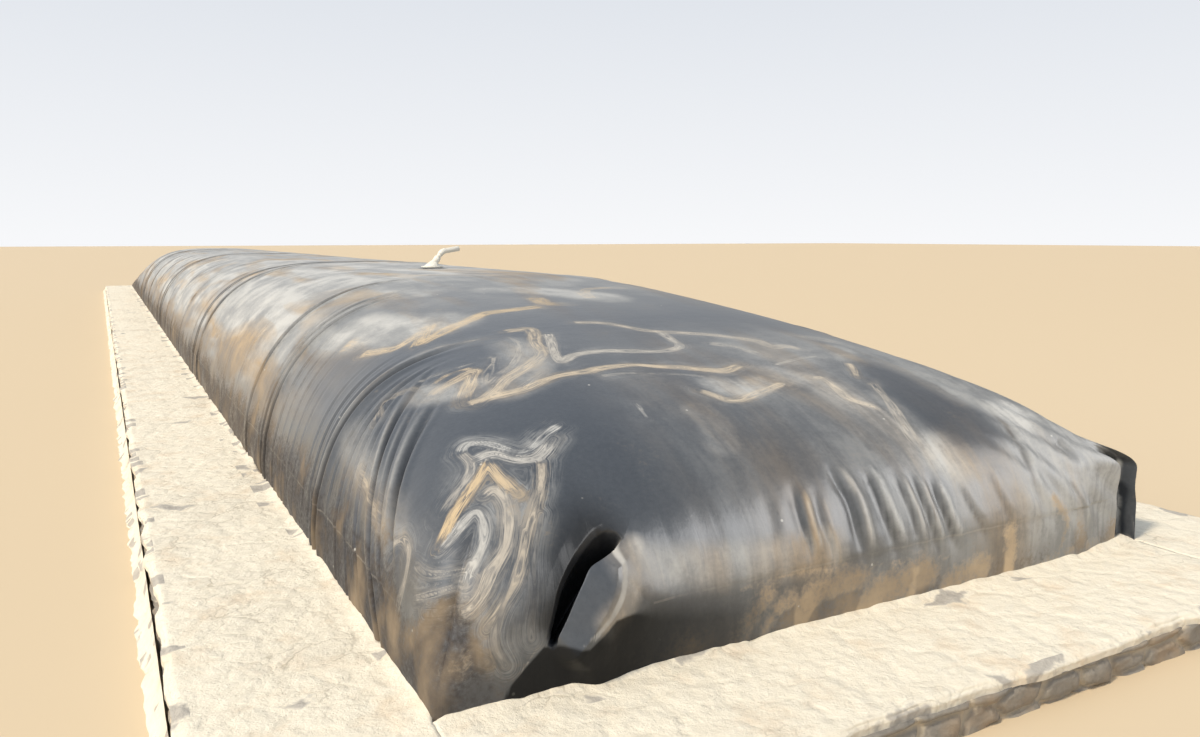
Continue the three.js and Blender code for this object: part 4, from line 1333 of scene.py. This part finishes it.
def trowelled_mortar(name):
    """Pale cement mortar, spread over rubble with a trowel and weathered: chalky cream with tan stains, the
    stones' rounds faintly showing, and grey stone where the skin has gone."""
    m, shader = new_material(name, "#e4dac5", 0.93)
    place = add(m, "TexCoord", output="Object")
    share = add(m, "Attribute", output="Fac", attribute_name="bare")
    sway = add(m, "TexNoise", {"Vector": place, "Scale": 9.0, "Detail": 4.0}, "Color")
    swayed = add(m, "VectorMath", {0: sway, 1: (0.11, 0.11, 0.11), 2: place}, **TIMES_PLUS)
    stone_place = add(m, "Mapping", {"Vector": swayed, "Scale": (5.0, 7.0, 7.0)})
    cell = add(m, "TexVoronoi", {"Vector": stone_place, "Scale": 1.0}, "Color")
    gap = add(m, "TexVoronoi", {"Vector": stone_place, "Scale": 1.0}, feature="DISTANCE_TO_EDGE")
    pick = add(m, "SeparateColor", {"Color": cell}, "Red")
    coarse = add(m, "TexNoise", {"Vector": place, "Scale": 22.0, "Detail": 9.0, "Roughness": 0.62})
    grit = add(m, "TexNoise", {"Vector": place, "Scale": 160.0, "Detail": 4.0})
    blotch = add(m, "TexNoise", {"Vector": place, "Scale": 2.1, "Detail": 7.0, "Roughness": 0.6})
    stain = add(m, "TexNoise", {"Vector": swayed, "Scale": 4.3, "Detail": 7.0, "Roughness": 0.65})

    picked = add(m, "Math", {0: pick, 1: share}, operation="LESS_THAN")
    broken = add(m, "Math", {0: coarse, 1: 0.35, 2: gap}, **TIMES_PLUS)
    inside = add(m, "MapRange", {"Value": broken, "From Min": 0.22, "From Max": 0.34}, **EASED)
    bare = add(m, "Math", {0: picked, 1: inside}, **TIMES)

    skin = add(m, "Mix", {0: coarse, 6: "#d3c8b2", 7: "#e8e0ce"}, **COLOUR)
    stain_share = add(m, "MapRange", {"Value": stain, "From Min": 0.52, "From Max": 0.75, "To Max": 0.45})
    stained = add(m, "Mix", {0: stain_share, 6: skin, 7: "#c3a27c"}, **COLOUR)
    grey_share = add(m, "MapRange", {"Value": blotch, "From Min": 0.52, "From Max": 0.72, "To Max": 0.3})
    greyed = add(m, "Mix", {0: grey_share, 6: stained, 7: "#b7ae9f"}, **COLOUR)
    seam = add(m, "MapRange", {"Value": gap, "From Max": 0.03, "To Min": 1.0, "To Max": 0.0})
    open_seam = add(m, "MapRange", {"Value": blotch, "From Min": 0.5, "From Max": 0.6, "To Max": 0.55})
    seam_share = add(m, "Math", {0: seam, 1: open_seam}, **TIMES)
    seamed = add(m, "Mix", {0: seam_share, 6: greyed, 7: "#93866f"}, **COLOUR)
    stone = add(m, "Mix", {0: coarse, 6: "#87817a", 7: "#c6beb0"}, **COLOUR)
    colour = add(m, "Mix", {0: bare, 6: seamed, 7: stone}, **COLOUR)
    link(m, colour, shader, "Base Color")

    rounds = add(m, "MapRange", {"Value": gap, "From Max": 0.22}, **EASED)
    sunk = add(m, "Math", {0: bare, 1: -0.6, 2: rounds}, **TIMES_PLUS)
    cobbled = add(m, "Bump", {"Height": sunk, "Distance": 0.008, "Strength": 0.4})
    trowelled = add(m, "Bump", {"Height": coarse, "Distance": 0.016, "Strength": 0.8, "Normal": cobbled})
    sandy = add(m, "Bump", {"Height": grit, "Distance": 0.0015, "Strength": 0.7, "Normal": trowelled})
    link(m, sandy, shader, "Normal")
    return m


def grey_rubble(name):
    """Split granite rubble, as quarried: rough grey-brown faces, with crumbly pale mortar between them."""
    m, shader = new_material(name, "#8d857a", 0.95)
    place = add(m, "TexCoord", output="Object")
    proud = add(m, "Attribute", output="Fac", attribute_name="bare")
    coarse = add(m, "TexNoise", {"Vector": place, "Scale": 14.0, "Detail": 9.0, "Roughness": 0.65})
    patches = add(m, "TexNoise", {"Vector": place, "Scale": 5.0, "Detail": 3.0})
    grit = add(m, "TexNoise", {"Vector": place, "Scale": 120.0, "Detail": 5.0})
    grey = add(m, "Mix", {0: coarse, 6: "#615c55", 7: "#a79f92"}, **COLOUR)
    warm_share = add(m, "MapRange", {"Value": patches, "From Min": 0.5, "From Max": 0.65, "To Max": 0.5})
    stone = add(m, "Mix", {0: warm_share, 6: grey, 7: "#a58c6c"}, **COLOUR)
    mortar = add(m, "Mix", {0: coarse, 6: "#9d907c", 7: "#cdc1ab"}, **COLOUR)
    crumbled = add(m, "Math", {0: coarse, 1: 0.7, 2: proud}, **TIMES_PLUS)
    stone_share = add(m, "MapRange", {"Value": crumbled, "From Min": 0.75, "From Max": 1.1})
    colour = add(m, "Mix", {0: stone_share, 6: mortar, 7: stone}, **COLOUR)
    link(m, colour, shader, "Base Color")
    rugged = add(m, "Bump", {"Height": coarse, "Distance": 0.02, "Strength": 0.7})
    sandy = add(m, "Bump", {"Height": grit, "Distance": 0.002, "Strength": 0.6, "Normal": rugged})
    link(m, sandy, shader, "Normal")
    return m


def white_pvc(name):
    """White PVC pipe, extruded and moulded, weathered outdoors: a warm chalky white with soft gloss."""
    m, shader = new_material(name, "#e2dfd4", 0.42)
    shader.inputs["IOR"].default_value = 1.53
    place = add(m, "TexCoord", output="Object")
    grime = add(m, "TexNoise", {"Vector": place, "Scale": 22.0, "Detail": 6.0})
    colour = add(m, "Mix", {0: grime, 6: "#eae8df", 7: "#c9c2b0"}, **COLOUR)
    link(m, colour, shader, "Base Color")
    return m


sheet_material = polyethylene_sheet("black_polyethylene_sheet")
mortar_material = trowelled_mortar("trowelled_mortar")
rubble_material = grey_rubble("split_granite_rubble")
pipe_material = white_pvc("weathered_white_pvc")


# Kerb


def add_slab(name, low, high, spacing, nodes, material, shaped, side_rows=4):
    """A slab from a plan grid whose outer rows run down its sides, shaped by a function of its points."""
    xs, ys = spacing
    drops = np.linspace(1, 0, side_rows + 1)[:-1]
    i_plan = np.concatenate([np.full(side_rows, xs[0]), xs, np.full(side_rows, xs[-1])])
    j_plan = np.concatenate([np.full(side_rows, ys[0]), ys, np.full(side_rows, ys[-1])])
    i_drop = np.concatenate([drops, 0 * xs, drops[::-1]])
    j_drop = np.concatenate([drops, 0 * ys, drops[::-1]])
    x, y = np.meshgrid(i_plan, j_plan, indexing="ij")
    drop = np.maximum(*np.meshgrid(i_drop, j_drop, indexing="ij"))
    points = np.stack([x, y, high - (high - low) * drop], -1)
    points, bare = shaped(points, drop)
    mesh, i, j = grid_mesh(name, i_plan, j_plan, points)
    set_number(mesh, "bare", bare[i, j])
    mesh.update()
    mesh.shade_smooth()
    add_piece(name, mesh, material, nodes)


RIM_OVERLAP = 0.048
RIM_LUMP = 0.036
EDGE_BACK = 0.026
EDGE_RAGGED = 0.024
EDGE_SLACK = 1e-6
TOP_STONES = (0.21, 0.15)
WALL_STONES = (0.2, 0.09)
FOOT_STONES = (0.11, 0.07)
# The cap's unevenness, wear and sinking, and the share of bare stone at its edges, on top and at its sides
CAP_WAVE = 0.004
CAP_GRAIN = 0.002
CAP_ROUNDS = 0.004
CAP_WORN = 0.012
CAP_SUNK = 0.003
BARE_OUTSIDE = 0.45
BARE_INSIDE = 0.3
BARE_ON_TOP = 0.012
BARE_ON_SIDES = 0.55
# How far the rubble lies back: at least, in a joint, where a stone is broken, and by chance
LEAST_BACK = 0.004
JOINT_BACK = 0.018
BROKEN_BACK = 0.022
CHANCE_BACK = 0.016


def kerb_edges(x, y):
    """Distance inwards from the kerb's outer edge, and outwards from the pit's edge."""
    outer = np.minimum(KERB_X - np.abs(x), KERB_Y - np.abs(y))
    inner = np.maximum(np.abs(x) - PIT_X, np.abs(y) - PIT_Y)
    return outer, inner


def towards(x, y, by_x):
    """Unit vector in plan, outwards across the kerb, for places that lie on a long wall or a short one."""
    return np.stack([np.sign(x) * by_x, np.sign(y) * ~by_x], -1)


def cap_shape(points, drop):
    """Trowelled top over the rounds of the stones, with a ragged outer edge and lumps against the sheet."""
    x, y = points[..., 0], points[..., 1]
    outer, inner = kerb_edges(x, y)
    flat = points * (1, 1, 0)
    ragged_out = EDGE_BACK + EDGE_RAGGED * rough(flat, 0.19, 51, 4)
    lump = np.clip(0.5 + 1.2 * rough(flat, 0.17, 52, 4), 0, 1)
    lump = lump * smooth(0.0, 0.07, np.hypot(np.abs(x) - PIT_X, np.abs(y) - PIT_Y))
    border, number = cells(x, y, *TOP_STONES, 5)
    rounds = smooth(0.0, 0.35, border) * (0.4 + 0.6 * number)
    top = CAP_WAVE * rough(flat, 0.45, 53, 3) + CAP_GRAIN * rough(flat, 0.06, 54, 2)
    top = top + CAP_ROUNDS * (rounds - 0.4)
    uneven = CAP_WORN * (1 - smooth(0.0, 0.06, outer))
    rim = 1 - smooth(0.0, 0.05, inner)
    result = points.copy()
    result[..., 2] += (top - uneven + RIM_LUMP * lump * rim) * (1 - drop) - CAP_SUNK
    pull_out = ragged_out * (1 - smooth(0, 0.06, outer))
    pull_in = RIM_OVERLAP * lump * (1 - smooth(0, 0.06, inner)) * (inner >= -EDGE_SLACK) * (1 - drop)
    result[..., :2] -= towards(x, y, KERB_X - np.abs(x) <= KERB_Y - np.abs(y)) * pull_out[..., None]
    result[..., :2] -= towards(x, y, np.abs(x) - PIT_X >= np.abs(y) - PIT_Y) * pull_in[..., None]
    share = BARE_OUTSIDE * (1 - smooth(0.03, 0.12, outer)) + BARE_INSIDE * (1 - smooth(0.02, 0.12, inner))
    return result, np.where(drop > 0, BARE_ON_SIDES, share + BARE_ON_TOP)


def masonry_shape(points, drop):
    """Rubble: stones about 20 cm long and 9 cm high with recessed mortar between them, all inside the
    wall's face."""
    x, y, z = np.moveaxis(points, -1, 0)
    outer, _ = kerb_edges(x, y)
    on_long_wall = KERB_X - np.abs(x) <= KERB_Y - np.abs(y)
    run = np.where(on_long_wall, y, x)
    border, number = cells(run, z, *WALL_STONES, 9)
    proud = smooth(0.03, 0.22, border)
    broken = 0.5 + 0.5 * rough(points, (0.11, 0.11, 0.05), 61, 4)
    back = LEAST_BACK + JOINT_BACK * (1 - proud) + BROKEN_BACK * broken + CHANCE_BACK * number
    result = points.copy()
    result[..., :2] -= towards(x, y, on_long_wall) * (back * (1 - smooth(0, 0.03, outer)))[..., None]
    return result, 0.35 + 0.65 * proud


def fading(start, end, near_spacing, far_spacing, growth=1.008):
    """Steps from start to end that grow steadily from the near spacing to the far one."""
    values = [start]
    step = near_spacing * DRAFT
    while values[-1] + step < end - step / 2:
        values.append(values[-1] + step)
        step = min(step * growth, far_spacing * DRAFT)
    values.append(end)
    return np.array(values)


CAP_GAP = 0.001
KERB_SPACING = 0.014
KERB_SPACING_ACROSS = 0.013
COARSE_KERB_SPACING = 0.03
FAR_KERB_SPACING = 0.09
HAUNCH_SPACING = 0.016


def thinned(values):
    """About every sixth part of the values, for faces that show only from their ends."""
    return values[:: max(1, len(values) // 6)]


def build_kerb():
    short_way = spaced(-PIT_X, PIT_X, KERB_SPACING * DRAFT)
    width = spaced(0, KERB_X - PIT_X, KERB_SPACING_ACROSS * DRAFT)
    depth = spaced(0, KERB_Y - PIT_Y, KERB_SPACING_ACROSS * DRAFT)
    between = fading(-PIT_Y, PIT_Y, KERB_SPACING, FAR_KERB_SPACING)
    long_way = joined(-PIT_Y - depth[::-1], between, PIT_Y + depth)
    coarse = spaced(0, KERB_X - PIT_X, COARSE_KERB_SPACING * DRAFT)
    left, right = -PIT_X - width[::-1], PIT_X + coarse
    near, far = -PIT_Y - depth[::-1], PIT_Y + depth
    for side, cap_grid, rubble_grid in (
        ("left", (left, long_way), (thinned(left), long_way)),
        ("right", (right, long_way), (thinned(right), long_way)),
        ("near", (short_way, near), (short_way, thinned(near))),
        ("far", (short_way, far), (short_way, thinned(far))),
    ):
        add_slab(
            f"{side}_kerb_cap", CAP_BOTTOM, KERB_TOP, cap_grid, [f"kerb_{side}_cap"],
            mortar_material, cap_shape,
        )
        add_slab(
            f"{side}_kerb_rubble", 0, CAP_BOTTOM - CAP_GAP, rubble_grid, [f"kerb_{side}_masonry"],
            rubble_material, masonry_shape, 8,
        )


HAUNCH_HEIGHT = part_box("kerb_left_haunch")[1].z
HAUNCH_WIDTH = -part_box("kerb_left_haunch")[0].x - KERB_X
HAUNCH_HOLLOW = 0.35
HAUNCH_ROWS = 15
STONES_BARE = 0.6
STONES_PROUD = 0.008
HAUNCH_IN_WALL = 0.012


def build_haunches():
    """A rough fillet of mortar and small stones along the outer foot of each long wall."""
    along = fading(-KERB_Y, KERB_Y, HAUNCH_SPACING, FAR_KERB_SPACING)
    section = np.linspace(0, 1, HAUNCH_ROWS)
    for side, sign in (("left", -1), ("right", 1)):
        bend, y = np.meshgrid(section, along, indexing="ij")
        out = HAUNCH_WIDTH * ((1 - bend) ** 2 + 2 * bend * (1 - bend) * HAUNCH_HOLLOW)
        high = HAUNCH_HEIGHT * (bend**2 + 2 * bend * (1 - bend) * HAUNCH_HOLLOW)
        points = np.stack([0 * y, y, high + 0 * y], -1)
        lumps = 0.5 + 0.5 * rough(points * (1, 1, 0.4), 0.09, 71 + sign, 4)
        border, number = cells(y, bend * 0.12, *FOOT_STONES, 6)
        stones = smooth(0.05, 0.2, border) * (number < 0.4)
        out = out * (0.45 + 0.5 * lumps) + STONES_PROUD * stones * (1 - bend)
        points[..., 0] = sign * (KERB_X + np.minimum(out, HAUNCH_WIDTH) - HAUNCH_IN_WALL)
        points[..., 2] = points[..., 2] * (0.8 + 0.35 * lumps)
        name = f"{side}_kerb_haunch"
        mesh, i, j = grid_mesh(name, section, along, points)
        set_number(mesh, "bare", (STONES_BARE * stones)[i, j])
        if sign > 0:
            mesh.flip_normals()
        mesh.update()
        mesh.shade_smooth()
        add_piece(name, mesh, mortar_material, [f"kerb_{side}_haunch"])


SAME_PLACE = 1e-5
SAME_PLANE = math.radians(1)
SHARP = math.radians(35)
PIPE_BEVEL = 0.0015
BEVEL_STEPS = 3


def refined(name, node_name, material):
    """A finer copy of a CAD node: merged, with its edges rounded."""
    source = bpy.data.objects[node_name]
    bm = bmesh.new()
    bm.from_mesh(source.data)
    bmesh.ops.remove_doubles(bm, verts=bm.verts, dist=SAME_PLACE)
    bmesh.ops.dissolve_limit(bm, angle_limit=SAME_PLANE, verts=bm.verts, edges=bm.edges)
    mesh = mesh_from(name, bm)
    mesh.shade_smooth()
    piece = add_piece(name, mesh, material, [node_name])
    rounded = piece.modifiers.new("rounded_edges", "BEVEL")
    rounded.width = PIPE_BEVEL
    rounded.segments = BEVEL_STEPS
    rounded.limit_method = "ANGLE"
    rounded.angle_limit = SHARP
    rounded.harden_normals = True


def build_outlet():
    for part in ("flange", "boot", "sleeve", "riser", "elbow", "pipe_end"):
        refined(f"gas_{part}", f"outlet_{part}", pipe_material)


SIDE_SKIRTS = ["lining_skirt_left", "lining_skirt_right"]
COVER_PIECES = ["cover_near_run", "cover_roll_1", "cover_roll_2", "cover_roll_3", "cover_slack_end"]


def build_cover():
    near, skirts = near_columns, SIDE_SKIRTS
    all_round, nodes = SIDE_SKIRTS + ["lining_skirt_near"], ["cover_near_end"]
    add_sheet("cover_near_face", near, face_rows, nodes, holes=WINDOWS)
    add_sheet("cover_near_shoulder", near, rise_rows, nodes)
    add_sheet("cover_near_run", near, run_rows, nodes)
    for n, rows in enumerate(panel_rows, 1):
        add_sheet(f"cover_roll_{n}", far_columns, rows, [f"cover_panel_{n}"])
    nodes = ["cover_far_end", "corner_ear_far_left", "corner_ear_far_right"]
    add_sheet("cover_slack_end", far_columns, far_rows, nodes)


FINER = 3


def build_corner_folds():
    for name, node_name, window in (
        ("pleat_pocket_near_left", "corner_pleat_near_left", pleat_window),
        ("gathered_ear_near_right", "corner_ear_near_right", ear_window),
    ):
        columns, rows = window.grids(FINER)
        add_sheet(name, columns, rows, [node_name], stitch=FINER)


def build_skirt():
    along = joined(face_rows, rise_rows, run_rows, *panel_rows, far_rows)
    for side, columns, rows, holes in (
        ("left", skirt_columns, along, ()),
        ("right", GIRTH - skirt_columns[::-1], along, WINDOWS),
        ("near", all_near_columns, skirt_rows, WINDOWS),
        ("far", all_far_columns, far_skirt_rows, ()),
    ):
        name, nodes, rests_on = f"lining_skirt_{side}", [f"skirt_{side}"], [f"{side}_kerb_cap"]
        add_sheet(name, columns, rows, nodes, holes=holes)


STRAP_ROWS = 9
STRAP_RAISED = 0.004
PATCH_ROWS = 13
PATCH_RAISED = 0.0084


def build_welds():
    for n, seam in enumerate(SEAMS, 1):
        rows = arc_at(np.linspace(seam - STRAP_WIDTH / 2, seam + STRAP_WIDTH / 2, STRAP_ROWS))
        columns = near_columns if n == 1 else far_columns
        name, nodes, rests_on = f"weld_strap_{n}", [f"weld_seam_{n}"], COVER_PIECES[n - 1 : n + 1]
        add_sheet(name, columns, rows, nodes, raised=STRAP_RAISED)
    low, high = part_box("outlet_patch")
    columns = girth_at(np.linspace(low.x, high.x, PATCH_ROWS) + HALF_WIDTH)
    rows = arc_at(np.linspace(low.y, high.y, PATCH_ROWS) + HALF_LENGTH)
    nodes, rests_on = ["outlet_patch"], ["cover_near_run"]
    add_sheet("gas_outlet_patch", columns, rows, nodes, raised=PATCH_RAISED)


FLOOR_REACH = 160
VIEW_END = 400


def build_stage():
    bm = bmesh.new()
    bmesh.ops.create_grid(bm, x_segments=1, y_segments=1, size=FLOOR_REACH)
    material, _ = new_material("pale_sand_floor_paint", "#cbb798", 0.95)
    add_object("pale_floor", mesh_from("pale_floor", bm), material)


SUN_TRAVEL = Vector((0.68, 0.14, -0.72))
SUN_POWER = 3.2
SUN_WIDTH = math.radians(8)
GLOW = 2.4
GLOW_NARROWNESS = 11.0
BOX_SIZE = (11.0, 9.5)
BOX_POWER = 1650
BOX_PLACE = (9.9, -20.9, 6.2)
BOX_FACES = Vector((-0.79, 0.55, -0.40))


def build_light():
    """A pale sky that deepens upwards and is bright with haze round the sun, a soft sun from the left, and a
    broad soft box before the near end. The sky that lights the object is darker on the right, as in a studio
    with one dark wall. The camera sees it plain."""
    world = bpy.data.worlds.new("soft_studio_sky")
    bpy.context.scene.world = world
    world.use_nodes = True
    background = world.node_tree.nodes["Background"]
    looking = add(world, "TexCoord", output="Generated")
    rightward_share, _, up = add(world, "SeparateXYZ", {"Vector": looking}, None)
    share = add(world, "MapRange", {"Value": up, "From Max": 0.75})
    sky = add(world, "Mix", {0: share, 6: "#f7f8fa", 7: "#a5b5ca"}, **COLOUR)
    wall = add(
        world, "MapRange",
        {"Value": rightward_share, "From Min": 0.3, "From Max": 0.9, "To Min": 1.0, "To Max": 0.5},
    )
    walled = add(world, "VectorMath", {0: sky, 1: wall}, **TIMES)
    facing = add(world, "VectorMath", {0: looking, 1: -SUN_TRAVEL}, "Value", operation="DOT_PRODUCT")
    ahead = add(world, "Math", {0: facing, 1: 0.0}, operation="MAXIMUM")
    narrowed = add(world, "Math", {0: ahead, 1: GLOW_NARROWNESS}, operation="POWER")
    glow = add(world, "Math", {0: narrowed, 1: GLOW}, **TIMES)
    lit = add(world, "VectorMath", {0: walled, 1: glow})
    seen = add(world, "LightPath", output="Is Camera Ray")
    colour = add(world, "Mix", {0: seen, 6: lit, 7: sky}, **COLOUR)
    link(world, colour, background, "Color")
    sun = bpy.data.lights.new("high_soft_sun", "SUN")
    sun.energy = SUN_POWER
    sun.angle = SUN_WIDTH
    sun.color = linear("#fff3df")[:3]
    lamp = place_object("high_soft_sun", sun)
    lamp.rotation_euler = SUN_TRAVEL.to_track_quat("-Z", "Y").to_euler()
    lamp.visible_glossy = False
    box = bpy.data.lights.new("near_soft_box", "AREA")
    box.shape = "RECTANGLE"
    box.size, box.size_y = BOX_SIZE
    box.energy = BOX_POWER
    panel = place_object("near_soft_box", box)
    panel.location = BOX_PLACE
    panel.rotation_euler = BOX_FACES.to_track_quat("-Z", "Y").to_euler()
    panel.visible_diffuse = False


def build_camera():
    data = bpy.data.cameras.new("photograph_view")
    data.sensor_fit = "HORIZONTAL"
    data.sensor_width = SENSOR_WIDTH
    data.lens = FOCAL_PIXELS * SENSOR_WIDTH / PHOTO_WIDTH
    data.clip_end = VIEW_END
    camera = place_object("photograph_view", data)
    camera.location = CAMERA_PLACE
    camera.rotation_euler = (math.pi / 2 - CAMERA_PITCH, 0, -CAMERA_YAW)
    bpy.context.scene.camera = camera


build_camera()
build_light()
build_stage()
build_kerb()
build_haunches()
build_cover()
build_corner_folds()
build_skirt()
build_welds()
build_outlet()
bpy.context.scene.view_settings.view_transform = "Standard"

bpy.context.view_layer.update()
